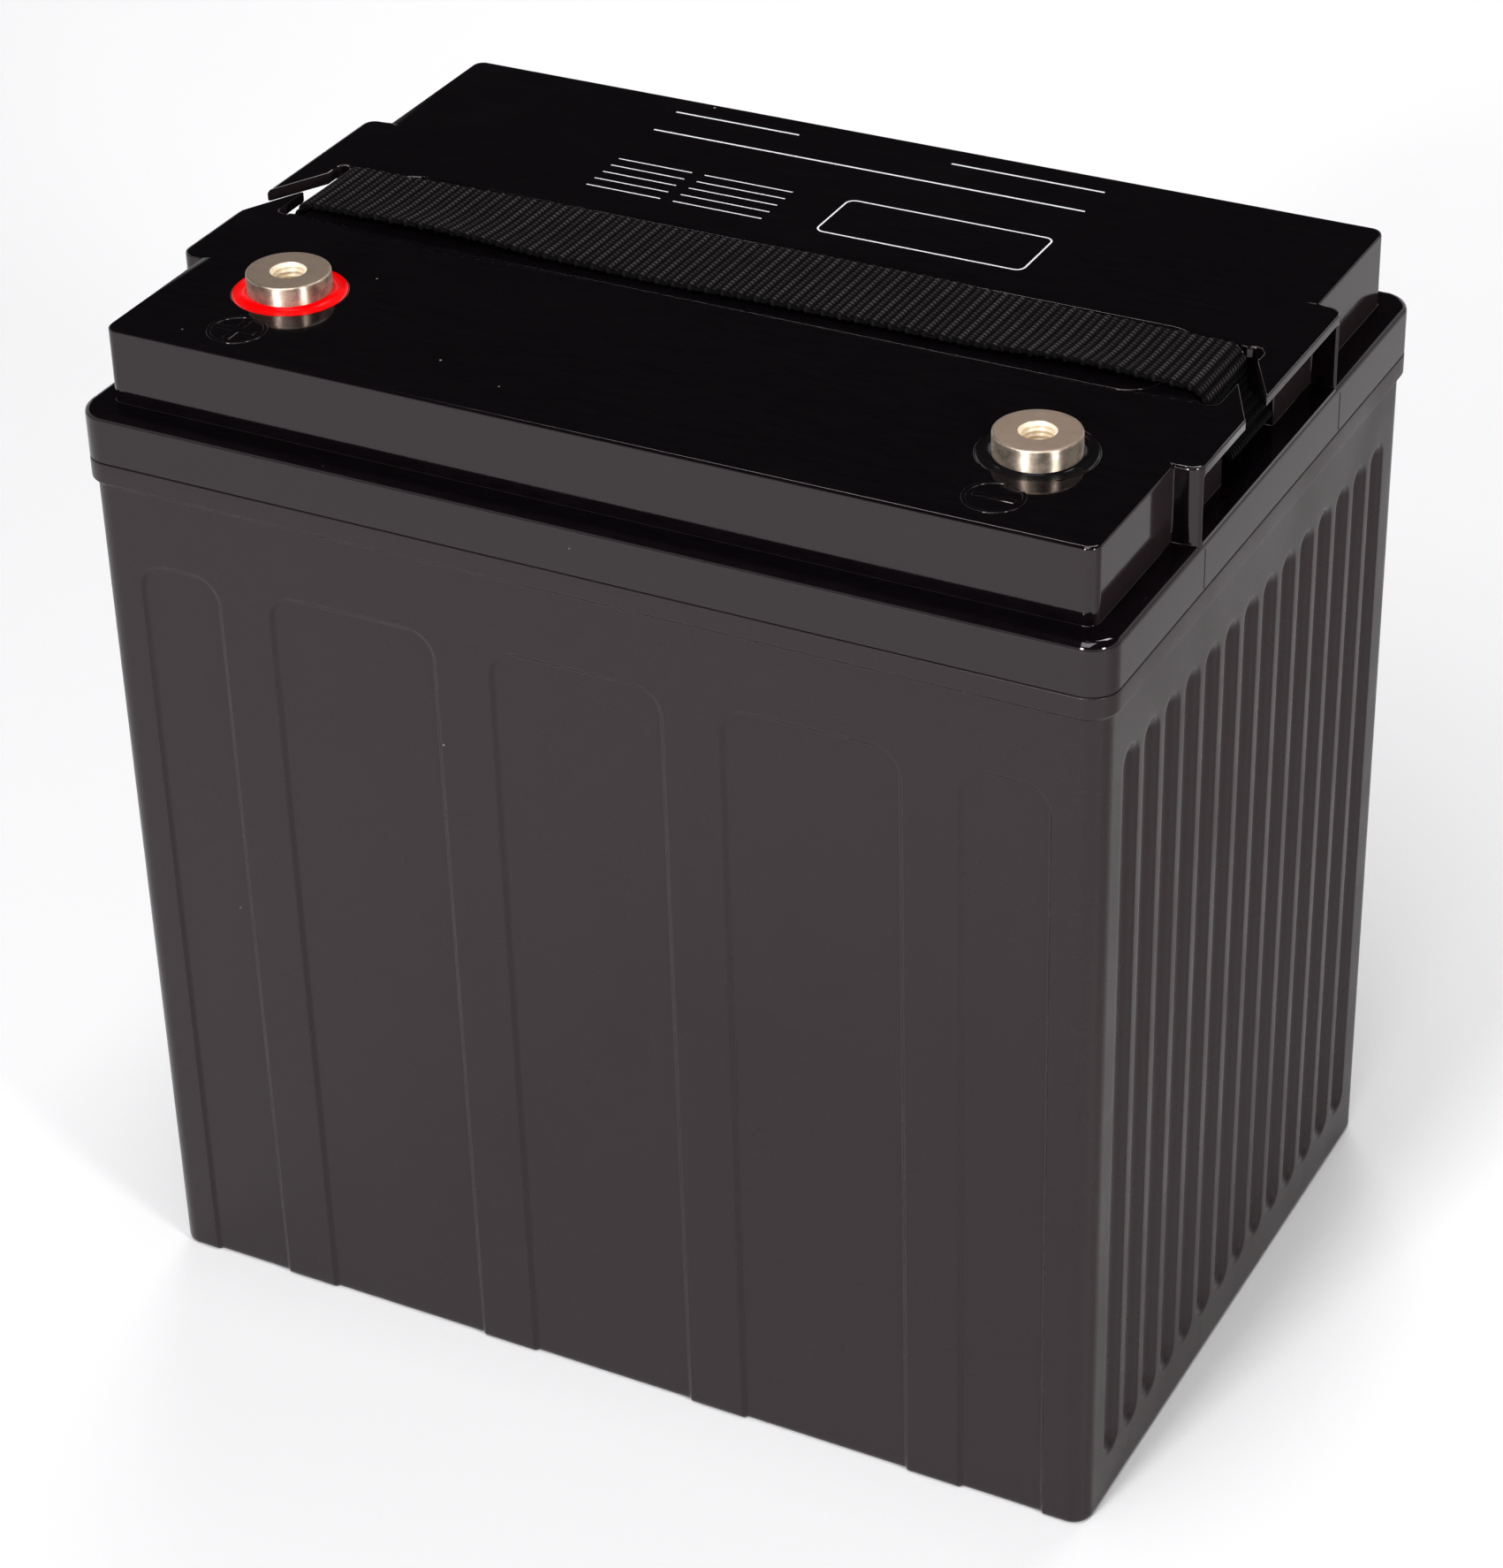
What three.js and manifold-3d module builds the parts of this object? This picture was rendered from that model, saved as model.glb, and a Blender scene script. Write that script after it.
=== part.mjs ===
// Deep cycle battery: an eight volt absorbed glass mat battery of four cells, with a lift strap.
// Millimetres, +Z up. X runs along the length, Y towards the back, and the origin is the middle of the base.
import * as THREE from "three";
import { mergeVertices } from "three/addons/utils/BufferGeometryUtils.js";
import Module from "manifold-3d";

const wasm = await Module();
wasm.setup();

// Driving dimensions.
const LENGTH = 260;
const WIDTH = 184;
const SEAM_Z = 231; // joint between case and lid
const COLLAR_TOP_Z = 244; // top of the lid's skirt
const LID_TOP_Z = 262.8; // top of the raised middle of the lid
const TERMINAL_RISE = 5.2; // terminal face above the lid
const GAP = 0.3; // clearance between neighbouring pieces

// Case.
const HALF_LENGTH = LENGTH / 2;
const HALF_WIDTH = WIDTH / 2;
const CORNER_RADIUS = 7;
const FLANGE_HEIGHT = 5;
const FLANGE_STEP = 1.4;
const DRAFT = 0.7; // each wall leans in by this much from flange to base
const BASE_EDGE = 1.6;
const FLOOR = 4;
const INNER_HALF_LENGTH = 123.4;
const INNER_HALF_WIDTH = 86.2;
const PARTITION = 2.4;
const PARTITION_TOP_Z = 228;
const CELLS = 4;
const CELL_LENGTH = (2 * INNER_HALF_LENGTH - (CELLS - 1) * PARTITION) / CELLS;
const CELL_PITCH = CELL_LENGTH + PARTITION;
const RIM_TOP_Z = 236; // upstand that enters the lid's groove
const RIM_WALL = 3;
const RELIEF = 0.8; // depth of the sunk panels

// Sunk panels on the long faces, wide ones over the partitions.
const PANEL_TOP_Z = 205;
const PANEL_RADIUS = 6.5;
const PANELS = [
  { x: -106, width: 20.5 },
  { x: -59, width: 43 },
  { x: 0, width: 43 },
  { x: 59, width: 43 },
  { x: 106, width: 20.5 },
];

// Round-bottomed flutes on the short faces.
const FLUTE_COUNT = 14;
const FLUTE_PITCH = 11.5;
const FLUTE_WIDTH = 8;
const FLUTE_DEPTH = 2;
const FLUTE_BOTTOM_Z = 13;
const FLUTE_TOP_Z = 211;

// Lid.
const BLOCK_HALF_LENGTH = 123.8;
const BLOCK_HALF_WIDTH = 85.1;
const BLOCK_RADIUS = 3;
const COLLAR_EDGE = 2.2;
const LID_WALL = 3.2;
const GROOVE_TOP_Z = 238.5;

// Brackets at the two ends, each with a slot for the strap and a slanted mouth that leads into it.
const BRACKET_FRONT_Y = -44;
const BRACKET_BACK_Y = 41.5;
const BRACKET_WALL = 3;
const BRACKET_PLATE = 3;
const SLOT_INNER_X = 116.6;
const SLOT_OUTER_X = 121.8;
const SLOT_HALF_WIDTH = 15.2;
const SLOT_EDGE = 3; // rounding of the slot's inner edge, where the strap bends down
const MOUTH = {
  frontInner: [SLOT_OUTER_X, -2.2],
  frontOuter: [HALF_LENGTH, -18.3],
  backInner: [SLOT_OUTER_X, 9],
  backOuter: [HALF_LENGTH, -6.2],
};

// Terminals, potted into wells in the lid.
const TERMINAL_X = 95;
const TERMINAL_Y = -50.6;
const TERMINAL_RADIUS = 10;
const TERMINAL_BOTTOM_Z = 249;
const BORE_RADIUS = 3.4; // M8 tapping size
const BORE_MOUTH_RADIUS = 4.5;
const BORE_DEPTH = 15;
const WELL_RADIUS = 13.6;
const WELL_DEPTH = 3.5;
const BOSS_RADIUS = 17;
const BOSS_BOTTOM_Z = 247;
const SEAL_Z = 253;
const SEAL_SECTION = 0.8;
const MARK_Y = -73.2; // raised polarity marks
const MARK_RADIUS = 7;
const MARK_RISE = 0.15;
const MARK_ARM = 4.9; // half the length of a plus or minus bar
const MARK_LINE = 0.9; // width of a mark's ring, and half the width of its bars

// Valve row under a flush cover plate.
const COVER = { halfLength: 106, halfWidth: 16.5, radius: 8, thickness: 1.8 };
const POCKET = { halfLength: 103, halfWidth: 13.6, radius: 5, floorZ: 252 };
const NECK_RADIUS = 5;
const NECK_BORE_RADIUS = 2.8;
const NECK_TOP_Z = 257.4;
const CAP_WALL = 1.4;
const CAP_TOP_Z = 259.7;

// Strap.
const STRAP_HALF_WIDTH = 13.8;
const STRAP_THICKNESS = 1.8;
const STRAP_Z = LID_TOP_Z + 0.3 + STRAP_THICKNESS / 2;

// Plates, separators and the lead that joins them.
const POSITIVE_PLATES = 6;
const NEGATIVE_PLATES = POSITIVE_PLATES + 1;
const POSITIVE_THICKNESS = 3;
const NEGATIVE_THICKNESS = 2.1;
const MAT_THICKNESS = 1.6;
const PLATE_PAIR_PITCH =
  POSITIVE_THICKNESS + NEGATIVE_THICKNESS + 2 * MAT_THICKNESS + 4 * GAP;
const PLATE_HALF_WIDTH = 81.5;
const PLATE_BOTTOM_Z = 6;
const PLATE_TOP_Z = 196;
const MAT_TOP_Z = 200;
const LUG_HALF_WIDTH = 7;
const BUS_BOTTOM_Z = 208;
const BUS_TOP_Z = 215;
const BUS_HALF_WIDTH = 12;
const TAB_THICKNESS = 4;
const TAB_TOP_Z = 227;
const LINK_Z = 221;
const LINK_RADIUS = 4.5;
const POST_RADIUS = 7;

// Materials.
const material = (color, roughness, metalness = 0) =>
  new THREE.MeshStandardMaterial({ color, roughness, metalness });
const blackPlastic = material(0x151418, 0.16);
const silverMetal = material(0xc9c4bc, 0.3, 1);
const lead = material(0x6f7378, 0.55, 0.9);
const redResin = material(0xc41a1c, 0.2);
const blackResin = material(0x0d0c0e, 0.15);
const rubber = material(0x1b1b1b, 0.8);
const webbing = material(0x2a2728, 0.95);
const greyResin = material(0x54565a, 0.5);
const brownPaste = material(0x4a2f24, 0.9);
const greyPaste = material(0x62666b, 0.9);
const glassMat = material(0xe9e8e2, 1);

// A closed geometry as a manifold solid, for the booleans.
function solid(geometry) {
  const bare = new THREE.BufferGeometry();
  bare.setAttribute("position", geometry.getAttribute("position"));
  bare.setIndex(geometry.getIndex());
  const merged = mergeVertices(bare, 1e-4);
  return new wasm.Manifold(
    new wasm.Mesh({
      numProp: 3,
      vertProperties: merged.attributes.position.array,
      triVerts: new Uint32Array(merged.index.array),
    }),
  );
}

// A manifold solid back as a geometry.
function geometryOf(body) {
  const mesh = body.getMesh();
  const geometry = new THREE.BufferGeometry();
  const positions = new THREE.BufferAttribute(mesh.vertProperties, 3);
  geometry.setAttribute("position", positions);
  geometry.setIndex(new THREE.BufferAttribute(mesh.triVerts, 1));
  geometry.computeVertexNormals();
  return geometry;
}

const union = (bodies) => bodies.reduce((sum, body) => sum.add(body));
const without = (body, tools) => body.subtract(union(tools));

function box(x0, x1, y0, y1, z0, z1) {
  const geometry = new THREE.BoxGeometry(x1 - x0, y1 - y0, z1 - z0);
  geometry.translate((x0 + x1) / 2, (y0 + y1) / 2, (z0 + z1) / 2);
  return solid(geometry);
}

function cylinder(x, y, radius, z0, z1, segments = 32) {
  const geometry = new THREE.CylinderGeometry(radius, radius, z1 - z0, segments);
  geometry.rotateX(Math.PI / 2);
  geometry.translate(x, y, (z0 + z1) / 2);
  return solid(geometry);
}

// A turned piece about a vertical axis: profile holds [radius, z] pairs.
function turned(profile, x, y, segments = 36) {
  const points = profile.map(([radius, z]) => new THREE.Vector2(radius, z));
  const geometry = new THREE.LatheGeometry(points, segments);
  geometry.rotateX(Math.PI / 2);
  geometry.translate(x, y, 0);
  return geometry;
}

// Corner points of a rounded rectangle, anticlockwise.
function roundedRing(halfX, halfY, radius, steps = 8) {
  const centres = [
    [halfX - radius, halfY - radius],
    [radius - halfX, halfY - radius],
    [radius - halfX, radius - halfY],
    [halfX - radius, radius - halfY],
  ];
  return centres.flatMap(([x, y], quarter) =>
    Array.from({ length: steps + 1 }, (_, i) => {
      const angle = ((quarter + i / steps) * Math.PI) / 2;
      return [x + radius * Math.cos(angle), y + radius * Math.sin(angle)];
    }),
  );
}

// A closed solid through rounded rectangles at rising heights.
function stacked(layers, steps = 8) {
  const rings = layers.map((l) =>
    roundedRing(l.halfX, l.halfY, l.radius, steps),
  );
  const count = rings[0].length;
  const positions = rings.flatMap((ring, k) =>
    ring.flatMap(([x, y]) => [x, y, layers[k].z]),
  );
  const faces = [];
  for (let k = 0; k + 1 < rings.length; k++) {
    for (let i = 0; i < count; i++) {
      const a = k * count + i;
      const b = k * count + ((i + 1) % count);
      faces.push(a, b, b + count, a, b + count, a + count);
    }
  }
  const top = (rings.length - 1) * count;
  for (let i = 1; i + 1 < count; i++) {
    faces.push(0, i + 1, i);
    faces.push(top, top + i, top + i + 1);
  }
  const geometry = new THREE.BufferGeometry();
  geometry.setAttribute(
    "position",
    new THREE.Float32BufferAttribute(positions, 3),
  );
  geometry.setIndex(faces);
  return geometry;
}

// A straight-sided rounded block between two heights.
const roundedBlock = (halfX, halfY, radius, z0, z1, steps = 8) =>
  solid(
    stacked(
      [
        { z: z0, halfX, halfY, radius },
        { z: z1, halfX, halfY, radius },
      ],
      steps,
    ),
  );

// Layers that round off the top edge of a stacked block in a quarter circle.
function roundedEdge(halfX, halfY, radius, z, edge, steps = 5) {
  return Array.from({ length: steps + 1 }, (_, i) => {
    const angle = ((i / steps) * Math.PI) / 2;
    const inset = edge * (1 - Math.cos(angle));
    return {
      z: z - edge + edge * Math.sin(angle),
      halfX: halfX - inset,
      halfY: halfY - inset,
      radius: radius - inset,
    };
  });
}

// A flat outline in X and Y carried up from z0 to z1.
function prism(outline, z0, z1) {
  const shape = new THREE.Shape(outline.map(([x, y]) => new THREE.Vector2(x, y)));
  const geometry = new THREE.ExtrudeGeometry(shape, {
    depth: z1 - z0,
    bevelEnabled: false,
  });
  geometry.translate(0, 0, z0);
  return solid(geometry);
}

// A flat outline in X and Z carried across from -halfWidth to halfWidth in Y.
function acrossStrip(outline, halfWidth) {
  const shape = new THREE.Shape(outline.map(([x, z]) => new THREE.Vector2(x, z)));
  const geometry = new THREE.ExtrudeGeometry(shape, {
    depth: 2 * halfWidth,
    bevelEnabled: false,
  });
  geometry.rotateX(Math.PI / 2);
  geometry.translate(0, halfWidth, 0);
  return geometry;
}

// Points of a circular arc from one angle to another.
function arc(x, y, radius, from, to, steps) {
  return Array.from({ length: steps + 1 }, (_, i) => {
    const angle = from + (i / steps) * (to - from);
    return [x + radius * Math.cos(angle), y + radius * Math.sin(angle)];
  });
}

const mirrored = (body) => body.mirror([1, 0, 0]);
const cellCentre = (cell) => (cell - (CELLS - 1) / 2) * CELL_PITCH;

// A sloped-sided cutter whose floor is a rounded rectangle at z = 0.
function reliefCutter(halfX, halfY, radius, steps) {
  const reach = 4;
  return stacked(
    [
      { z: 0, halfX, halfY, radius },
      {
        z: reach,
        halfX: halfX + reach,
        halfY: halfY + reach,
        radius: radius + reach,
      },
    ],
    steps,
  );
}

// Leans a cutter with the drafted wall: its outward distance grows with height.
function leaned(geometry) {
  const lean = DRAFT / (SEAM_Z - FLANGE_HEIGHT);
  const shear = new THREE.Matrix4().set(
    1, 0, 0, 0,
    0, 1, -lean, 0,
    0, 0, 1, 0,
    0, 0, 0, 1,
  );
  return geometry.applyMatrix4(shear);
}

// Cutters for the sunk panels of the front face, and turned round for the back.
function panelCutters() {
  const faceY = HALF_WIDTH - FLANGE_STEP - DRAFT - RELIEF;
  const halfHeight = (PANEL_TOP_Z + 30) / 2;
  return PANELS.flatMap(({ x, width }) => {
    const geometry = reliefCutter(width / 2, halfHeight, PANEL_RADIUS, 6);
    geometry.rotateX(Math.PI / 2);
    geometry.translate(x, -faceY, PANEL_TOP_Z - halfHeight);
    const front = solid(leaned(geometry));
    return [front, front.mirror([0, 1, 0])];
  });
}

// A cutter with a round bottom and round ends, whose deepest line is at z = 0 and whose rim is at FLUTE_DEPTH.
function fluteCutter(halfHeight) {
  const halfWidth = FLUTE_WIDTH / 2;
  const arcRadius = (halfWidth ** 2 + FLUTE_DEPTH ** 2) / (2 * FLUTE_DEPTH);
  const heights = [0.08, 0.55, 1.2, FLUTE_DEPTH, FLUTE_DEPTH + 1.5];
  return stacked(
    heights.map((z) => {
      const half = Math.sqrt(arcRadius ** 2 - (arcRadius - z) ** 2);
      return { z, halfX: half, halfY: halfHeight - halfWidth + half, radius: half };
    }),
    3,
  );
}

// Cutters for the flutes of both short faces.
function fluteCutters() {
  const deepestX = HALF_LENGTH - FLANGE_STEP - DRAFT - FLUTE_DEPTH;
  const halfHeight = (FLUTE_TOP_Z - FLUTE_BOTTOM_Z) / 2;
  const cutters = [];
  for (let i = 0; i < FLUTE_COUNT; i++) {
    const geometry = fluteCutter(halfHeight);
    geometry.rotateX(Math.PI / 2);
    geometry.translate(
      (i - (FLUTE_COUNT - 1) / 2) * FLUTE_PITCH,
      -deepestX,
      (FLUTE_TOP_Z + FLUTE_BOTTOM_Z) / 2,
    );
    leaned(geometry);
    geometry.rotateZ(Math.PI / 2);
    const right = solid(geometry);
    cutters.push(right, mirrored(right));
  }
  return cutters;
}

// Case: drafted box with a flange, a rim for the lid, four cells and holes for the cell links.
function caseBody() {
  const top = SEAM_Z - GAP / 2;
  const flangeBottom = SEAM_Z - FLANGE_HEIGHT;
  const bodyX = HALF_LENGTH - FLANGE_STEP;
  const bodyY = HALF_WIDTH - FLANGE_STEP;
  const shell = solid(
    stacked([
      {
        z: 0,
        halfX: bodyX - DRAFT - BASE_EDGE,
        halfY: bodyY - DRAFT - BASE_EDGE,
        radius: CORNER_RADIUS - BASE_EDGE,
      },
      {
        z: BASE_EDGE,
        halfX: bodyX - DRAFT,
        halfY: bodyY - DRAFT,
        radius: CORNER_RADIUS,
      },
      { z: flangeBottom - 1, halfX: bodyX, halfY: bodyY, radius: CORNER_RADIUS },
      {
        z: flangeBottom,
        halfX: HALF_LENGTH,
        halfY: HALF_WIDTH,
        radius: CORNER_RADIUS,
      },
      { z: top, halfX: HALF_LENGTH, halfY: HALF_WIDTH, radius: CORNER_RADIUS },
    ]),
  );
  const rim = roundedBlock(
    INNER_HALF_LENGTH + RIM_WALL,
    INNER_HALF_WIDTH + RIM_WALL,
    CORNER_RADIUS - 2,
    top - 1,
    RIM_TOP_Z,
  );
  const cells = Array.from({ length: CELLS }, (_, cell) =>
    roundedBlock(CELL_LENGTH / 2, INNER_HALF_WIDTH, 3, FLOOR, SEAM_Z + 10, 3).translate([
      cellCentre(cell),
      0,
      0,
    ]),
  );
  const overPartitions = roundedBlock(
    INNER_HALF_LENGTH,
    INNER_HALF_WIDTH,
    3,
    PARTITION_TOP_Z,
    SEAM_Z + 10,
    3,
  );
  const linkHoles = Array.from({ length: CELLS - 1 }, (_, link) =>
    linkCylinder(link, LINK_RADIUS + GAP, PARTITION + 2),
  );
  return without(shell.add(rim), [
    ...cells,
    overPartitions,
    ...linkHoles,
    ...panelCutters(),
    ...fluteCutters(),
  ]);
}

// Polarity changes side from cell to cell, so that each link joins two neighbours straight through.
const positiveSide = (cell) => (cell % 2 === 0 ? -1 : 1);
const busY = (side) => side * Math.abs(TERMINAL_Y);

// A short cylinder along X through the partition after the given cell.
function linkCylinder(link, radius, length) {
  const geometry = new THREE.CylinderGeometry(radius, radius, length, 24);
  geometry.rotateZ(Math.PI / 2);
  geometry.translate(
    cellCentre(link) + CELL_PITCH / 2,
    busY(-positiveSide(link)),
    LINK_Z,
  );
  return solid(geometry);
}

// Plan outline of the opening at the right end: the strap slot and its slanted mouth.
function slotOutline() {
  const radius = (SLOT_OUTER_X - SLOT_INNER_X) / 2;
  const middle = (SLOT_OUTER_X + SLOT_INNER_X) / 2;
  const round = (endY, from) => arc(middle, endY, radius, from, from + Math.PI, 8);
  const straight = SLOT_HALF_WIDTH - radius;
  const beyond = 1.2; // the mouth's sides run on past the outer edge of the plate
  const outward = ([x0, y0], [x1, y1]) => [
    x1 + (x1 - x0) * (beyond / 8),
    y1 + (y1 - y0) * (beyond / 8),
  ];
  return [
    ...round(straight, 0),
    ...round(-straight, Math.PI),
    MOUTH.frontInner,
    outward(MOUTH.frontInner, MOUTH.frontOuter),
    outward(MOUTH.backInner, MOUTH.backOuter),
    MOUTH.backInner,
  ];
}

// Bracket plate with its two end walls, at the right end.
function bracket() {
  const radius = 3.2;
  const middleY = (BRACKET_FRONT_Y + BRACKET_BACK_Y) / 2;
  const halfY = (BRACKET_BACK_Y - BRACKET_FRONT_Y) / 2;
  const inward = 12; // how far the bracket runs into the middle block
  return solid(
    stacked(
      [
        { z: COLLAR_TOP_Z - 1, halfX: inward, halfY, radius },
        { z: LID_TOP_Z - 0.4, halfX: inward, halfY, radius },
        {
          z: LID_TOP_Z,
          halfX: inward - 0.4,
          halfY: halfY - 0.4,
          radius: radius - 0.4,
        },
      ],
      5,
    ),
  ).translate([HALF_LENGTH - inward, middleY, 0]);
}

// Cutter that rounds off the slot's inner edge under the strap.
function slotEdge() {
  const centreX = SLOT_INNER_X - SLOT_EDGE;
  const centreZ = LID_TOP_Z - SLOT_EDGE;
  const beyond = 1;
  const outline = [
    [SLOT_INNER_X, centreZ - beyond],
    ...arc(centreX, centreZ, SLOT_EDGE, 0, Math.PI / 2, 6),
    [centreX, LID_TOP_Z + beyond],
    [SLOT_INNER_X + beyond, LID_TOP_Z + beyond],
    [SLOT_INNER_X + beyond, centreZ - beyond],
  ];
  return solid(acrossStrip(outline, STRAP_HALF_WIDTH + 2 * GAP));
}

// What is taken out under and through the bracket plate at the right end.
function bracketOpenings() {
  const underside = LID_TOP_Z - BRACKET_PLATE;
  const pocket = box(
    BLOCK_HALF_LENGTH,
    HALF_LENGTH + 2,
    BRACKET_FRONT_Y + BRACKET_WALL,
    BRACKET_BACK_Y - BRACKET_WALL,
    COLLAR_TOP_Z,
    underside,
  );
  const notch = box(
    SLOT_INNER_X,
    HALF_LENGTH + 2,
    -SLOT_HALF_WIDTH,
    SLOT_HALF_WIDTH,
    COLLAR_TOP_Z,
    underside,
  );
  const slot = prism(slotOutline(), COLLAR_TOP_Z + 2, LID_TOP_Z + 2);
  return [pocket, notch, slot, slotEdge()];
}

// Raised ring with a plus or a minus beside a terminal.
function polarityMark(side) {
  const x = side * TERMINAL_X;
  const z0 = LID_TOP_Z - 1;
  const z1 = LID_TOP_Z + MARK_RISE;
  const arm = MARK_ARM;
  const half = MARK_LINE;
  const ring = cylinder(x, MARK_Y, MARK_RADIUS, z0, z1, 48).subtract(
    cylinder(x, MARK_Y, MARK_RADIUS - MARK_LINE, z0 - 1, z1 + 1, 48),
  );
  const bars = [box(x - arm, x + arm, MARK_Y - half, MARK_Y + half, z0, z1)];
  if (side < 0) {
    bars.push(box(x - half, x + half, MARK_Y - arm, MARK_Y + arm, z0, z1));
  }
  return union([ring, ...bars]);
}

// Hollow inside of the lid, with walls left for the valve pocket, the bosses, the notches and the cell ribs.
function lidCavity() {
  const cavity = roundedBlock(
    BLOCK_HALF_LENGTH - LID_WALL,
    BLOCK_HALF_WIDTH - LID_WALL,
    3,
    SEAM_Z - 5,
    LID_TOP_Z - LID_WALL,
    3,
  );
  const wall = 2.5;
  const valveHousing = roundedBlock(
    POCKET.halfLength + wall,
    POCKET.halfWidth + wall,
    POCKET.radius + wall,
    POCKET.floorZ - wall,
    LID_TOP_Z,
    3,
  );
  const bosses = [-1, 1].map((side) =>
    cylinder(side * TERMINAL_X, TERMINAL_Y, BOSS_RADIUS, BOSS_BOTTOM_Z, LID_TOP_Z),
  );
  const notchWalls = [-1, 1].map((side) => {
    const inner = SLOT_INNER_X - LID_WALL;
    const reach = SLOT_HALF_WIDTH + LID_WALL;
    const x = [side * inner, side * HALF_LENGTH].sort((a, b) => a - b);
    return box(x[0], x[1], -reach, reach, COLLAR_TOP_Z - LID_WALL, LID_TOP_Z);
  });
  const ribs = Array.from({ length: CELLS - 1 }, (_, i) => {
    const x = cellCentre(i) + CELL_PITCH / 2;
    const half = PARTITION / 2;
    return box(x - half, x + half, -HALF_WIDTH, HALF_WIDTH, PARTITION_TOP_Z + GAP, LID_TOP_Z);
  });
  const kept = union([valveHousing, ...bosses, ...notchWalls, ...ribs]);
  return cavity.subtract(kept);
}

// Lid: skirt and shoulder, raised middle block, two brackets, terminal wells and the valve pocket.
function lidBody() {
  const bottom = SEAM_Z + GAP / 2;
  const skirt = solid(
    stacked([
      { z: bottom, halfX: HALF_LENGTH, halfY: HALF_WIDTH, radius: CORNER_RADIUS },
      ...roundedEdge(HALF_LENGTH, HALF_WIDTH, CORNER_RADIUS, COLLAR_TOP_Z, COLLAR_EDGE),
    ]),
  );
  const block = solid(
    stacked(
      [
        {
          z: COLLAR_TOP_Z - 2,
          halfX: BLOCK_HALF_LENGTH,
          halfY: BLOCK_HALF_WIDTH,
          radius: BLOCK_RADIUS,
        },
        ...roundedEdge(BLOCK_HALF_LENGTH, BLOCK_HALF_WIDTH, BLOCK_RADIUS, LID_TOP_Z, 0.8),
      ],
      6,
    ),
  );
  const groove = roundedBlock(
    INNER_HALF_LENGTH + RIM_WALL + GAP,
    INNER_HALF_WIDTH + RIM_WALL + GAP,
    CORNER_RADIUS - 2 + GAP,
    bottom - 1,
    GROOVE_TOP_Z,
  ).subtract(
    roundedBlock(
      INNER_HALF_LENGTH - GAP,
      INNER_HALF_WIDTH - GAP,
      3 - GAP,
      bottom - 2,
      GROOVE_TOP_Z + 1,
      3,
    ),
  );
  const seat = roundedBlock(
    COVER.halfLength + GAP,
    COVER.halfWidth + GAP,
    COVER.radius + GAP,
    LID_TOP_Z - COVER.thickness - 2 * GAP,
    LID_TOP_Z + 1,
  );
  const pocket = roundedBlock(
    POCKET.halfLength,
    POCKET.halfWidth,
    POCKET.radius,
    POCKET.floorZ,
    LID_TOP_Z + 1,
    3,
  );
  const wells = [-1, 1].flatMap((side) => {
    const x = side * TERMINAL_X;
    const boreRadius = TERMINAL_RADIUS + GAP;
    return [
      cylinder(x, TERMINAL_Y, WELL_RADIUS, LID_TOP_Z - WELL_DEPTH, LID_TOP_Z + 2, 64),
      cylinder(x, TERMINAL_Y, boreRadius, BOSS_BOTTOM_Z - 1, LID_TOP_Z, 48),
    ];
  });
  const rightBracket = bracket();
  const openings = bracketOpenings();
  const body = union([skirt, block, rightBracket, mirrored(rightBracket)]);
  const hollow = without(body, [
    lidCavity(),
    groove,
    seat,
    pocket,
    ...wells,
    ...openings,
    ...openings.map(mirrored),
  ]);
  const necks = Array.from({ length: CELLS }, (_, cell) =>
    cylinder(cellCentre(cell), 0, NECK_RADIUS, POCKET.floorZ - 1, NECK_TOP_Z, 24),
  );
  const neckBores = Array.from({ length: CELLS }, (_, cell) =>
    cylinder(cellCentre(cell), 0, NECK_BORE_RADIUS, POCKET.floorZ - 4, NECK_TOP_Z + 1, 16),
  );
  const marked = union([hollow, ...necks, polarityMark(-1), polarityMark(1)]);
  return without(marked, neckBores);
}

// Cover plate over the valve row.
function valveCover() {
  const top = LID_TOP_Z - 0.1;
  const bottom = top - COVER.thickness;
  return roundedBlock(COVER.halfLength, COVER.halfWidth, COVER.radius, bottom, top);
}

// Rubber cap over one vent neck.
function valveCap(cell) {
  const inner = NECK_RADIUS + GAP;
  const outer = inner + CAP_WALL;
  const bottom = POCKET.floorZ + GAP;
  const ceiling = NECK_TOP_Z + GAP;
  return turned(
    [
      [0, ceiling],
      [inner, ceiling],
      [inner, bottom],
      [outer, bottom],
      [outer, CAP_TOP_Z - 0.6],
      [outer - 0.6, CAP_TOP_Z],
      [0, CAP_TOP_Z],
    ],
    cellCentre(cell),
    0,
    24,
  );
}

// Terminal: a turned button with a tapped bore, and a groove for its seal ring.
function terminal(side) {
  const top = LID_TOP_Z + TERMINAL_RISE;
  const edge = 0.5;
  const grooveRadius = TERMINAL_RADIUS - 2 * SEAL_SECTION + 0.1;
  const grooveHalf = SEAL_SECTION + GAP;
  return turned(
    [
      [0, TERMINAL_BOTTOM_Z],
      [TERMINAL_RADIUS, TERMINAL_BOTTOM_Z],
      [TERMINAL_RADIUS, SEAL_Z - grooveHalf],
      [grooveRadius, SEAL_Z - grooveHalf],
      [grooveRadius, SEAL_Z + grooveHalf],
      [TERMINAL_RADIUS, SEAL_Z + grooveHalf],
      [TERMINAL_RADIUS, top - edge],
      [TERMINAL_RADIUS - edge, top],
      [BORE_MOUTH_RADIUS, top],
      [BORE_RADIUS, top - (BORE_MOUTH_RADIUS - BORE_RADIUS)],
      [BORE_RADIUS, top - BORE_DEPTH],
      [0, top - BORE_DEPTH],
    ],
    side * TERMINAL_X,
    TERMINAL_Y,
    64,
  );
}

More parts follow.
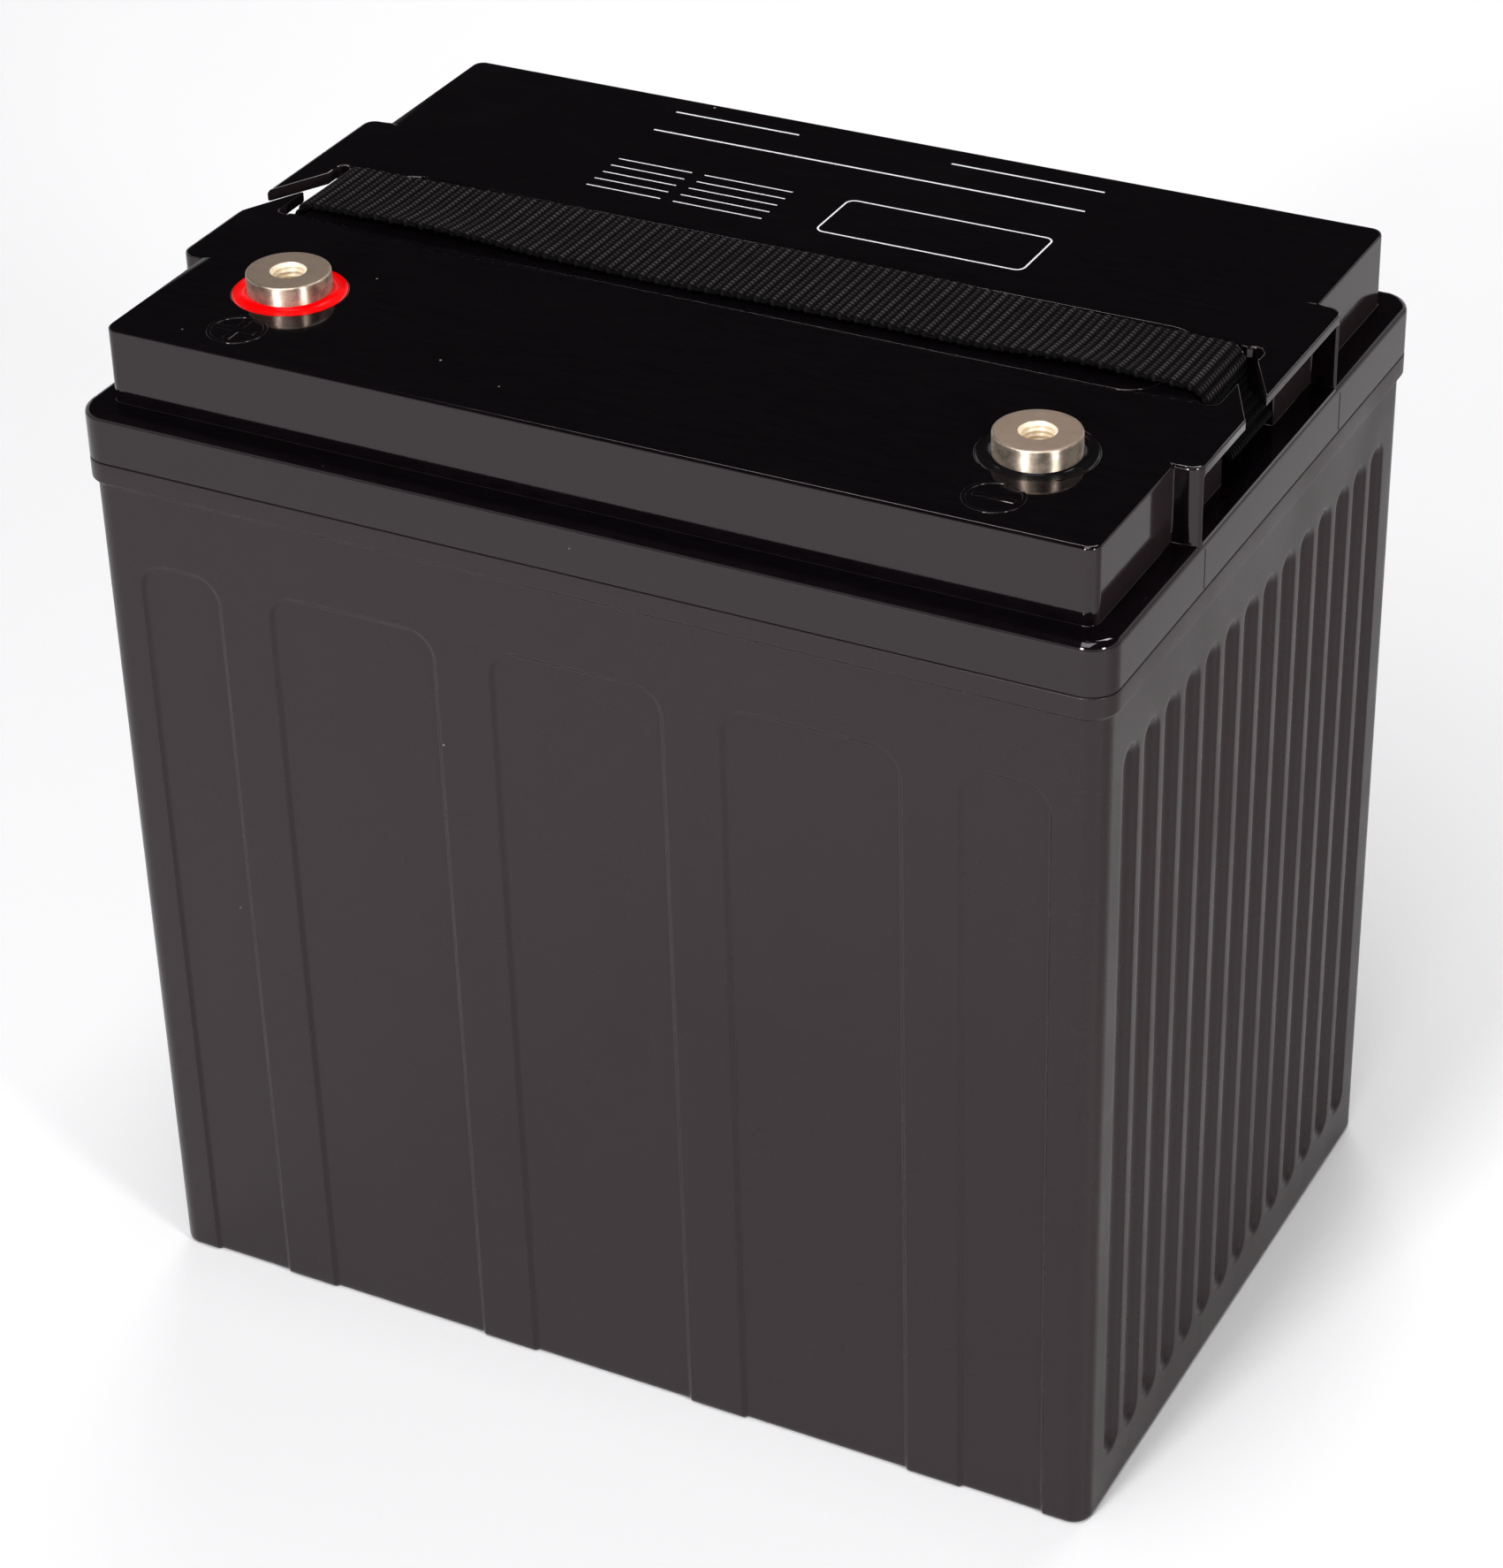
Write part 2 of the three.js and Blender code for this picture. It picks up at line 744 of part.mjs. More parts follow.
// Rubber ring in the terminal's groove.
function sealRing(side) {
  const geometry = new THREE.TorusGeometry(
    TERMINAL_RADIUS - SEAL_SECTION + 0.25,
    SEAL_SECTION - 0.08,
    8,
    36,
  );
  geometry.translate(side * TERMINAL_X, TERMINAL_Y, SEAL_Z);
  return geometry;
}

// Resin ring poured into the well round a terminal, dished between its two edges.
function potting(side) {
  const inner = TERMINAL_RADIUS + GAP;
  const outer = WELL_RADIUS - GAP;
  const bottom = LID_TOP_Z - WELL_DEPTH + GAP;
  return turned(
    [
      [inner, bottom],
      [outer, bottom],
      [outer, LID_TOP_Z - 0.1],
      [(inner + outer) / 2, LID_TOP_Z - 0.6],
      [inner, LID_TOP_Z - 0.2],
      [inner, bottom],
    ],
    side * TERMINAL_X,
    TERMINAL_Y,
    64,
  );
}

// Lead post from an end cell's bus up to its terminal.
function post(side) {
  const bottom = BUS_TOP_Z + GAP;
  const top = TERMINAL_BOTTOM_Z - GAP;
  return turned(
    [
      [0, bottom],
      [POST_RADIUS + 2.5, bottom],
      [POST_RADIUS + 2.5, bottom + 2],
      [POST_RADIUS, bottom + 5],
      [POST_RADIUS, top],
      [0, top],
    ],
    side * TERMINAL_X,
    TERMINAL_Y,
    28,
  );
}

// Sealant bead in the lid's groove, above the rim of the case.
function sealantBead() {
  const z0 = RIM_TOP_Z + GAP;
  const z1 = GROOVE_TOP_Z - GAP;
  return roundedBlock(
    INNER_HALF_LENGTH + RIM_WALL,
    INNER_HALF_WIDTH + RIM_WALL,
    CORNER_RADIUS - 2,
    z0,
    z1,
  ).subtract(
    roundedBlock(INNER_HALF_LENGTH, INNER_HALF_WIDTH, 3, z0 - 1, z1 + 1, 3),
  );
}

// Middle of a plate across the cell's length: even places are negative, odd ones positive.
function plateX(cell, place) {
  return (
    cellCentre(cell) + ((place - POSITIVE_PLATES) * PLATE_PAIR_PITCH) / 2
  );
}

// One cell's plates of one polarity: plates with lugs, burnt onto a cast bus that may carry link tabs.
function plateGroup(cell, positive) {
  const side = positive ? positiveSide(cell) : -positiveSide(cell);
  const thickness = positive ? POSITIVE_THICKNESS : NEGATIVE_THICKNESS;
  const count = positive ? POSITIVE_PLATES : NEGATIVE_PLATES;
  const y = busY(side);
  const pieces = [];
  for (let i = 0; i < count; i++) {
    const x = plateX(cell, 2 * i + (positive ? 1 : 0));
    const half = thickness / 2;
    const w = PLATE_HALF_WIDTH;
    pieces.push(box(x - half, x + half, -w, w, PLATE_BOTTOM_Z, PLATE_TOP_Z));
    pieces.push(
      box(
        x - half,
        x + half,
        y - LUG_HALF_WIDTH,
        y + LUG_HALF_WIDTH,
        PLATE_TOP_Z - 1,
        BUS_BOTTOM_Z + 1,
      ),
    );
  }
  const reach = CELL_LENGTH / 2 - 0.6;
  const centre = cellCentre(cell);
  pieces.push(
    box(
      centre - reach,
      centre + reach,
      y - BUS_HALF_WIDTH,
      y + BUS_HALF_WIDTH,
      BUS_BOTTOM_Z,
      BUS_TOP_Z,
    ),
  );
  const towards = positive ? -1 : 1;
  const next = cell + towards;
  if (next >= 0 && next < CELLS) {
    const face = centre + towards * reach;
    const back = face - towards * TAB_THICKNESS;
    pieces.push(
      box(
        Math.min(face, back),
        Math.max(face, back),
        y - BUS_HALF_WIDTH + 2,
        y + BUS_HALF_WIDTH - 2,
        BUS_BOTTOM_Z + 1,
        TAB_TOP_Z,
      ),
    );
  }
  return union(pieces);
}

// One cell's glass mat: a single sheet pleated between the plates, folding round alternate edges.
function separator(cell) {
  const half = MAT_THICKNESS / 2;
  const places = 2 * POSITIVE_PLATES;
  const layerX = (k) => (plateX(cell, k) + plateX(cell, k + 1)) / 2 + layerShift(k);
  const end = PLATE_HALF_WIDTH + GAP;
  const pieces = [];
  for (let k = 0; k < places; k++) {
    const x = layerX(k);
    const z = [PLATE_BOTTOM_Z - 1, MAT_TOP_Z];
    pieces.push(box(x - half, x + half, -end - MAT_THICKNESS, end + MAT_THICKNESS, ...z));
    if (k + 1 < places) {
      const fold = k % 2 === 0 ? 1 : -1;
      const y = [fold * end, fold * (end + MAT_THICKNESS)].sort((a, b) => a - b);
      pieces.push(box(x - half, layerX(k + 1) + half, y[0], y[1], ...z));
    }
  }
  return union(pieces);
}

// The mat sits midway between the faces of two plates of different thickness.
function layerShift(k) {
  const shift = (POSITIVE_THICKNESS - NEGATIVE_THICKNESS) / 4;
  return k % 2 === 0 ? -shift : shift;
}

// Middle line of the strap's right half, over the slot's rounded edge, down the slot and out to the tail.
function strapLine() {
  const bendRadius = SLOT_EDGE + GAP + STRAP_THICKNESS / 2;
  const bendX = SLOT_INNER_X - SLOT_EDGE;
  const bendZ = STRAP_Z - bendRadius;
  const flareX = bendX + bendRadius;
  const flareZ = 256.5;
  const flareRadius = 5;
  const flareAngle = 0.88;
  const tailLength = 6.6;
  const bend = arc(bendX, bendZ, bendRadius, Math.PI / 2, 0, 6);
  const flare = arc(0, 0, flareRadius, 0, flareAngle, 4).map(([x, z]) => [
    flareX + flareRadius - x,
    flareZ - z,
  ]);
  const [lastX, lastZ] = flare[flare.length - 1];
  const tailEnd = [
    lastX + tailLength * Math.sin(flareAngle),
    lastZ - tailLength * Math.cos(flareAngle),
  ];
  return [...bend, ...flare, tailEnd];
}

// Strap: flat webbing over the lid, its two ends turned down through the slots and out under the brackets.
function strap() {
  const right = strapLine();
  const left = right.map(([x, z]) => [-x, z]).reverse();
  const line = [...left, ...right];
  const half = STRAP_THICKNESS / 2;
  const offset = (distance) =>
    line.map(([x, z], i) => {
      const [x0, z0] = line[Math.max(i - 1, 0)];
      const [x1, z1] = line[Math.min(i + 1, line.length - 1)];
      const length = Math.hypot(x1 - x0, z1 - z0);
      return [x - ((z1 - z0) / length) * distance, z + ((x1 - x0) / length) * distance];
    });
  return acrossStrip([...offset(-half), ...offset(half).reverse()], STRAP_HALF_WIDTH);
}

const battery = new THREE.Group();
battery.name = "deep_cycle_battery";

function add(name, made, finish) {
  const geometry = made.isBufferGeometry ? made : geometryOf(made);
  const mesh = new THREE.Mesh(geometry, finish);
  mesh.name = name;
  battery.add(mesh);
}

add("case", caseBody(), blackPlastic);
add("lid", lidBody(), blackPlastic);
add("valve_cover", valveCover(), blackPlastic);
add("sealant_bead", sealantBead(), greyResin);
add("carry_strap", strap(), webbing);
for (const [name, side, resin] of [
  ["positive", -1, redResin],
  ["negative", 1, blackResin],
]) {
  add(name + "_terminal", terminal(side), silverMetal);
  add(name + "_seal_ring", sealRing(side), rubber);
  add(name + "_potting", potting(side), resin);
  add(name + "_post", post(side), lead);
}
for (let cell = 0; cell < CELLS; cell++) {
  const number = cell + 1;
  add("positive_plates_" + number, plateGroup(cell, true), brownPaste);
  add("negative_plates_" + number, plateGroup(cell, false), greyPaste);
  add("separator_" + number, separator(cell), glassMat);
  add("valve_cap_" + number, valveCap(cell), rubber);
}
for (let link = 0; link < CELLS - 1; link++) {
  const length = PARTITION + 2 * 0.6 - 2 * GAP;
  add("cell_link_" + (link + 1), linkCylinder(link, LINK_RADIUS, length), lead);
}

export default battery;
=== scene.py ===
import math

import bmesh
import bpy
import numpy as np
from mathutils import Matrix, Vector


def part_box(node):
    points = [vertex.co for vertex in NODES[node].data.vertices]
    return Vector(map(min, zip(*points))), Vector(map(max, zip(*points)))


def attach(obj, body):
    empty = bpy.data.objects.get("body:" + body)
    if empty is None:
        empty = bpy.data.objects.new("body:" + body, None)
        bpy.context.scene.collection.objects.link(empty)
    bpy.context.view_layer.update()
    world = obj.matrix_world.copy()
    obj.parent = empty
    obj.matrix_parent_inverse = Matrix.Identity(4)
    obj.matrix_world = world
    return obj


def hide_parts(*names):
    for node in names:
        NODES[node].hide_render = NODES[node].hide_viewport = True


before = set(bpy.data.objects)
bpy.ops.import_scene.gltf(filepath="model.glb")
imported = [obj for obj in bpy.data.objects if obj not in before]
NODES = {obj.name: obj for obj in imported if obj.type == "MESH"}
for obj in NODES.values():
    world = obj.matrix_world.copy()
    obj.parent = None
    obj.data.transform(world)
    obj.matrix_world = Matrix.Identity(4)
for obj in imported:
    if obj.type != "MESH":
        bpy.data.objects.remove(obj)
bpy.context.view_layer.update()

MM = 0.001


def box_mm(node):
    """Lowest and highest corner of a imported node, in millimetres."""
    low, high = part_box(node)
    return low / MM, high / MM


CASE_HIGH = box_mm("case")[1]
LID_LOW = box_mm("lid")[0]
STRAP_HIGH = box_mm("carry_strap")[1]
POTTING_LOW, POTTING_HIGH = box_mm("positive_potting")
TERMINAL_LOW, TERMINAL_HIGH = box_mm("positive_terminal")

# Case.
HALF_LENGTH = CASE_HIGH.x
HALF_WIDTH = CASE_HIGH.y
SEAM_GAP = 0.24
FLANGE_TOP = LID_LOW.z - SEAM_GAP
FLANGE_HEIGHT = 5.0
FLANGE_STEP = 1.4
FLANGE_FILLET = 1.6
FLANGE_EDGE = 0.35
DRAFT = 0.7
BASE_EDGE = 1.6
CORNER_RADIUS = 7.0
CASE_WALL = 6.6  # outer edge of the flange to the inside of a cell
CASE_SIDE_WALL = 5.8
RIM_WALL = 3.0
RIM_TOP = CASE_HIGH.z
PARTITION = 2.4
PARTITION_TOP = 228.0
FLOOR_TOP = 4.0

# Which part of the outline a point of the case is on.
CORNER = 0
LONG_FACE = 1
SHORT_FACE = 2

# Sunk panels on the long faces, wide ones over the partitions.
PANEL_RELIEF = 0.8
PANEL_TOP = 205.0
PANEL_RADIUS = 6.5
PANELS = [  # middle and width
    (-106.0, 20.5),
    (-59.0, 43.0),
    (0.0, 43.0),
    (59.0, 43.0),
    (106.0, 20.5),
]

# Round-bottomed flutes on the short faces.
FLUTE_COUNT = 14
FLUTE_PITCH = 11.5
FLUTE_WIDTH = 8.0
FLUTE_DEPTH = 2.0
FLUTE_BOTTOM = 13.0
FLUTE_TOP = 211.0

# Lid.
LID_TOP = POTTING_HIGH.z + 0.1
COLLAR_TOP = 244.0
LID_EDGE = 0.4
COVER_EDGE = 0.22
BRACKET_BACK = 41.5
BRACKET_FRONT = -44.0
MARK_REACH = 8.0  # a polarity mark's ring lies within this of the terminal's middle in x
MARK_NEAR = 8.0  # and between these distances in front of it
MARK_FAR = 30.0
PARTING_LINE_HALF = 0.16
PARTING_LINE_RISE = 0.12

# Terminals.
TERMINAL_X = (TERMINAL_LOW.x + TERMINAL_HIGH.x) / 2
TERMINAL_Y = (TERMINAL_LOW.y + TERMINAL_HIGH.y) / 2
TERMINAL_RADIUS = (TERMINAL_HIGH.x - TERMINAL_LOW.x) / 2
TERMINAL_TOP = TERMINAL_HIGH.z
TERMINAL_RIM = 0.5
GROOVE_LOW = 251.9
GROOVE_HIGH = 254.1
GROOVE_DEPTH = 1.5
LATHE_MARK_PITCH = 0.32
WELL_RADIUS = (POTTING_HIGH.x - POTTING_LOW.x) / 2 + 0.3
THREAD_PITCH = 1.25
THREAD_MINOR = 3.7
THREAD_MAJOR = 3.98
BORE_DEPTH = 15.0
BORE_MOUTH = 4.35

# Strap.
STRAP_HALF_WIDTH = STRAP_HIGH.y
STRAP_THICKNESS = 1.8
STRAP_BEND_X = 113.6
STRAP_BEND_RADIUS = 4.2
STRAP_FLARE_Z = 256.5
STRAP_FLARE_RADIUS = 5.0
STRAP_FLARE_ANGLE = 0.88
STRAP_TAIL = 6.6
RIB_PITCH = 2.14
RIB_HEIGHT = 0.5
NUB_PITCH = 1.35
STRAND_PITCH = 0.31
SELVEDGE_LOOP = 0.45

# Printed rules on the lid.
PRINT_LEFT = -61.3
PRINT_RIGHT = 55.5
RULE_WIDTH = 0.55
FINE_RULE_WIDTH = 0.35
FINE_RULE_PITCH = 4.1

# Camera and lights.
CAMERA_ANGLES = (28.20, 32.31, -1.62)  # azimuth, elevation and roll, in degrees
CAMERA_PLACE = (0.42982, -0.80938, 0.70331)  # in metres
SENSOR_WIDTH = 36
FOCAL_LENGTH = 99.83
STRIP_DISTANCE = 1.85  # in metres, as is the height
STRIP_HEIGHT = 0.8


# ---------------------------------------------------------------- meshes


def new_object(name, vertices, faces, smooth=True):
    """An object from points in millimetres."""
    mesh = bpy.data.meshes.new(name)
    mesh.from_pydata([tuple(v) for v in np.asarray(vertices, float) * MM], [], faces)
    mesh.update()
    if smooth:
        mesh.shade_smooth()
    made = bpy.data.objects.new(name, mesh)
    bpy.context.scene.collection.objects.link(made)
    return made


def grid_faces(rows, columns, closed, first=0):
    """Quads of a grid of rows, each with the given columns, closed round or open."""
    faces = []
    for r in range(rows - 1):
        for c in range(columns if closed else columns - 1):
            a = first + r * columns + c
            b = first + r * columns + (c + 1) % columns
            faces.append((a, b, b + columns, a + columns))
    return faces


def add_block(vertices, faces, low, high):
    """Adds a closed block between two corners to a list of points and faces."""
    first = len(vertices)
    for z in (low[2], high[2]):
        vertices.extend([(low[0], low[1], z), (high[0], low[1], z)])
        vertices.extend([(high[0], high[1], z), (low[0], high[1], z)])
    faces.extend(grid_faces(2, 4, True, first))
    faces.append((first + 3, first + 2, first + 1, first))
    faces.append((first + 4, first + 5, first + 6, first + 7))


def weigh_normals(made, sharp_degrees=None):
    """Face-weighted normals, so that flat faces stay flat beside rounded edges."""
    if sharp_degrees is not None:
        made.data.set_sharp_from_angle(angle=math.radians(sharp_degrees))
    weighted = made.modifiers.new("weighted_normals", "WEIGHTED_NORMAL")
    weighted.weight = 100
    weighted.keep_sharp = sharp_degrees is not None


def stand_for(made, node, material, body="battery"):
    """The piece rides on its body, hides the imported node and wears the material."""
    made.data.materials.clear()
    made.data.materials.append(material)
    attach(made, body)
    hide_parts(node)


def softened(node, name, edge_width, segments=3, narrow=None):
    """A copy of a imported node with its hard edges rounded. narrow(middle) gives an edge's share of the
    width from its middle point in millimetres."""
    mesh = NODES[node].data.copy()
    mesh.name = name
    shape = bmesh.new()
    shape.from_mesh(mesh)
    bmesh.ops.remove_doubles(shape, verts=shape.verts, dist=1e-5)
    bmesh.ops.dissolve_limit(
        shape, angle_limit=math.radians(1), verts=shape.verts, edges=shape.edges
    )
    weight = shape.edges.layers.float.new("bevel_weight_edge")
    hard = math.radians(32)
    for edge in shape.edges:
        if edge.is_manifold and edge.calc_face_angle(0) > hard:
            middle = (edge.verts[0].co + edge.verts[1].co) / 2 / MM
            edge[weight] = narrow(middle) if narrow else 1.0
    shape.to_mesh(mesh)
    shape.free()
    mesh.shade_smooth()
    made = bpy.data.objects.new(name, mesh)
    bpy.context.scene.collection.objects.link(made)
    bevel = made.modifiers.new("rounded_edges", "BEVEL")
    bevel.width = edge_width * MM
    bevel.segments = segments
    bevel.limit_method = "WEIGHT"
    bevel.use_clamp_overlap = False
    bevel.miter_outer = "MITER_ARC"
    weigh_normals(made)
    return made


def smooth_step(t):
    """Eases from 0 to 1 as t goes from 0 to 1."""
    t = np.clip(t, 0, 1)
    return t * t * (3 - 2 * t)


# ---------------------------------------------------------------- materials

USUAL_INDEX = 1.38
DUST_COLOUR = (0.22, 0.21, 0.2)
# Yarn colours: painted shade in the hollows between the ribs, painted light on their crests.
YARN_PAINTED_SHADE = (0.0012, 0.0009, 0.001)
YARN_PAINTED_LIGHT = (0.056, 0.045, 0.047)
INK_WHITE = (0.72, 0.72, 0.74)
INK_WORN = (0.2, 0.2, 0.21)
GRID_LEAD = (0.16, 0.165, 0.17)


class Shader:
    """A Principled material with short calls for the nodes that these materials share."""

    def __init__(self, name, colour, roughness, metallic=0.0):
        self.material = bpy.data.materials.new(name)
        self.material.use_nodes = True
        self.tree = self.material.node_tree
        self.principled = self.tree.nodes["Principled BSDF"]
        self.set("Base Color", (*colour, 1))
        self.set("Roughness", roughness)
        self.set("Metallic", metallic)
        self.set("IOR", USUAL_INDEX)
        self.place = self.node("TexCoord").outputs["Object"]

    def node(self, kind, **settings):
        """A new shader node, with its settings."""
        made = self.tree.nodes.new("ShaderNode" + kind)
        for key, value in settings.items():
            setattr(made, key, value)
        return made

    def set(self, socket, value):
        """Gives a socket of the Principled node a plain value."""
        self.principled.inputs[socket].default_value = value

    def link(self, output, socket):
        """Links an output to any node's input."""
        self.tree.links.new(output, socket)

    def drive(self, output, name):
        """Links an output to a socket of the Principled node."""
        self.link(output, self.principled.inputs[name])

    def stretched(self, scale_xyz):
        """Object coordinates scaled by axis."""
        mapping = self.node("Mapping")
        mapping.inputs["Scale"].default_value = scale_xyz
        self.link(self.place, mapping.inputs["Vector"])
        return mapping.outputs["Vector"]

    def noise(self, size_mm, detail=3.0, place=None, rough=0.5):
        """Noise whose features are about size_mm across."""
        made = self.node("TexNoise")
        made.inputs["Scale"].default_value = 1 / (size_mm * MM)
        made.inputs["Detail"].default_value = detail
        made.inputs["Roughness"].default_value = rough
        self.link(place or self.place, made.inputs["Vector"])
        return made.outputs["Fac"]

    def specks(self, spacing_mm, size_mm, share):
        """1 on sparse small spots, 0 elsewhere."""
        cells = self.node("TexVoronoi")
        cells.inputs["Scale"].default_value = 1 / (spacing_mm * MM)
        self.link(self.place, cells.inputs["Vector"])
        spot = self.ranged(
            cells.outputs["Distance"], size_mm / spacing_mm, 0.6 * size_mm / spacing_mm, 0, 1
        )
        chance = self.node("SeparateColor")
        self.link(cells.outputs["Color"], chance.inputs["Color"])
        chosen = self.ranged(chance.outputs["Red"], share, share * 0.9, 0, 1)
        return self.maths("MULTIPLY", spot, chosen)

    def ranged(self, value, from_low, from_high, to_low, to_high):
        """A value moved from one range to another and held within it."""
        made = self.node("MapRange")
        numbers = zip(
            ("From Min", "From Max", "To Min", "To Max"),
            (from_low, from_high, to_low, to_high),
        )
        for key, number in numbers:
            made.inputs[key].default_value = number
        self.link(value, made.inputs["Value"])
        return made.outputs["Result"]

    def facing(self, axis):
        """How squarely the surface faces along an axis, either way: 0 to 1."""
        apart = self.node("SeparateXYZ")
        self.link(self.node("NewGeometry").outputs["Normal"], apart.inputs["Vector"])
        return self.maths("ABSOLUTE", apart.outputs[axis])

    def maths(self, operation, a, b=0):
        """A Math node's result, from outputs or plain numbers. Some operations take only the first."""
        made = self.node("Math", operation=operation)
        for socket, value in zip(made.inputs, (a, b)):
            if isinstance(value, (int, float)):
                socket.default_value = value
            else:
                self.link(value, socket)
        return made.outputs["Value"]

    def wave(self, distance, pitch):
        """A sine of a distance, with one wave for each pitch."""
        return self.maths("SINE", self.maths("MULTIPLY", distance, 2 * math.pi / pitch))

    def round_terminals(self):
        """Distance from the nearer terminal's axis, and height."""
        centre = self.node("VectorMath", operation="ADD")
        centre.inputs[1].default_value = (0, -TERMINAL_Y * MM, 0)
        self.link(self.place, centre.inputs[0])
        apart = self.node("SeparateXYZ")
        self.link(centre.outputs["Vector"], apart.inputs["Vector"])
        from_middle = self.maths("ABSOLUTE", apart.outputs["X"])
        from_axis = self.maths("SUBTRACT", from_middle, abs(TERMINAL_X) * MM)
        squared_x = self.maths("MULTIPLY", from_axis, from_axis)
        squared_y = self.maths("MULTIPLY", apart.outputs["Y"], apart.outputs["Y"])
        radius = self.maths("SQRT", self.maths("ADD", squared_x, squared_y))
        return radius, apart.outputs["Z"]

    def mixed(self, factor, low, high):
        """A colour between two colours, by a factor."""
        made = self.node("Mix", data_type="RGBA")
        self.link(factor, made.inputs["Factor"])
        for socket, colour in ((made.inputs[6], low), (made.inputs[7], high)):
            if isinstance(colour, tuple):
                socket.default_value = (*colour, 1)
            else:
                self.link(colour, socket)
        return made.outputs[2]

    def bump(self, heights):
        """Bumps in a chain: each is (height output, distance in millimetres, strength)."""
        normal = None
        for height, distance, strength in heights:
            made = self.node("Bump")
            made.inputs["Distance"].default_value = distance * MM
            made.inputs["Strength"].default_value = strength
            self.link(height, made.inputs["Height"])
            if normal is not None:
                self.link(normal, made.inputs["Normal"])
            normal = made.outputs["Normal"]
        self.drive(normal, "Normal")


def moulded_plastic(name, colour, painted_end_light, worn, roughness, dust, index, end_index):
    """Black moulded plastic with orange peel, faint scuffs and a little dust. The faces at the two ends
    of the battery are painted lighter and warmer, as painted light, and have less sheen. dust is the share
    of places that hold a speck."""
    shader = Shader(name, colour, roughness)
    shader.set("Specular Tint", (1.0, 0.87, 0.9, 1))
    ends = shader.ranged(shader.facing("X"), 0.75, 0.95, 0, 1)
    shader.drive(shader.ranged(ends, 0, 1, index, end_index), "IOR")
    patches = shader.noise(28, 2)
    scuffs = shader.noise(2.2, 5, place=shader.stretched((0.25, 1.0, 1.0)), rough=0.65)
    scuffed = shader.ranged(scuffs, 0.35, 0.8, 0, 0.7)
    specks = shader.specks(9, 0.4, dust)
    # Painted light: faces turned towards the battery's ends get a lighter, warmer colour, for the brighter
    # tone they show under the lights.
    tone = shader.mixed(ends, shader.mixed(scuffed, colour, worn), painted_end_light)
    shader.drive(shader.mixed(specks, tone, DUST_COLOUR), "Base Color")
    satin = shader.ranged(patches, 0.3, 0.7, roughness * 0.8, roughness * 1.25)
    rougher = shader.maths("MULTIPLY", scuffed, 0.012)
    dusty = shader.maths("MULTIPLY", specks, 0.5)
    total = shader.maths("ADD", shader.maths("ADD", satin, rougher), dusty)
    shader.drive(total, "Roughness")
    peel = shader.noise(1.6, 2)
    ripple = shader.noise(24, 1)
    shader.bump([(ripple, 0.02, 0.05), (peel, 0.004, 0.1), (specks, 0.05, 0.5)])
    return shader.material


def tin_plate(name, colour, painted_top_shade, painted_bore_light, roughness):
    """Turned brass under tin plate: ring marks from the lathe and small stains. The top face is painted
    darker, as painted shade, and the bore is painted bright, as painted light."""
    shader = Shader(name, colour, roughness, 1.0)
    stains = shader.noise(2.4, 5, rough=0.6)
    pits = shader.noise(0.5, 2)
    level = shader.facing("Z")
    radius, height = shader.round_terminals()
    inside = shader.ranged(radius, BORE_MOUTH * MM, (BORE_MOUTH - 0.1) * MM, 0, 1)
    smudges = shader.ranged(stains, 0.4, 0.65, 0, 1)
    stained = shader.mixed(smudges, colour, tuple(c * 0.55 for c in colour))
    # Painted shade: the top face gets a far darker copy of the metal colour, for the darker tone it shows
    # under the lights; the stains darken it further.
    top_in_painted_shade = shader.mixed(stains, painted_top_shade, tuple(c * 0.7 for c in painted_top_shade))
    # Sides and top are mixed by facing; the darker top here is painted shade.
    worn = shader.mixed(shader.ranged(level, 0.8, 0.97, 0, 1), stained, top_in_painted_shade)
    # Painted light: inside the bore the colour turns bright and warm, with little metal, for light falling
    # into the hole.
    shader.drive(shader.mixed(inside, worn, painted_bore_light), "Base Color")
    satin = shader.ranged(pits, 0.3, 0.75, roughness * 0.85, roughness * 1.2)
    shader.drive(satin, "Roughness")
    shader.drive(shader.ranged(inside, 0, 1, 1.0, 0.35), "Metallic")
    rings = shader.wave(shader.maths("ADD", radius, height), LATHE_MARK_PITCH * MM)
    shader.bump([(pits, 0.03, 0.3), (rings, 0.006, 0.25)])
    around = shader.node("Tangent", direction_type="RADIAL", axis="Z")
    shader.drive(around.outputs["Tangent"], "Tangent")
    shader.drive(shader.ranged(level, 0.4, 0.6, 0.96, 0), "Anisotropic")
    shader.set("Anisotropic Rotation", 0.25)
    return shader.material


def poured_resin(name, colour, deep, roughness):
    """Glossy cast resin, a little uneven where it set."""
    shader = Shader(name, colour, roughness)
    shader.drive(shader.mixed(shader.noise(4, 3), colour, deep), "Base Color")
    shader.set("Specular IOR Level", 0.12)
    shader.bump([(shader.noise(3.5, 2), 0.2, 0.3)])
    return shader.material


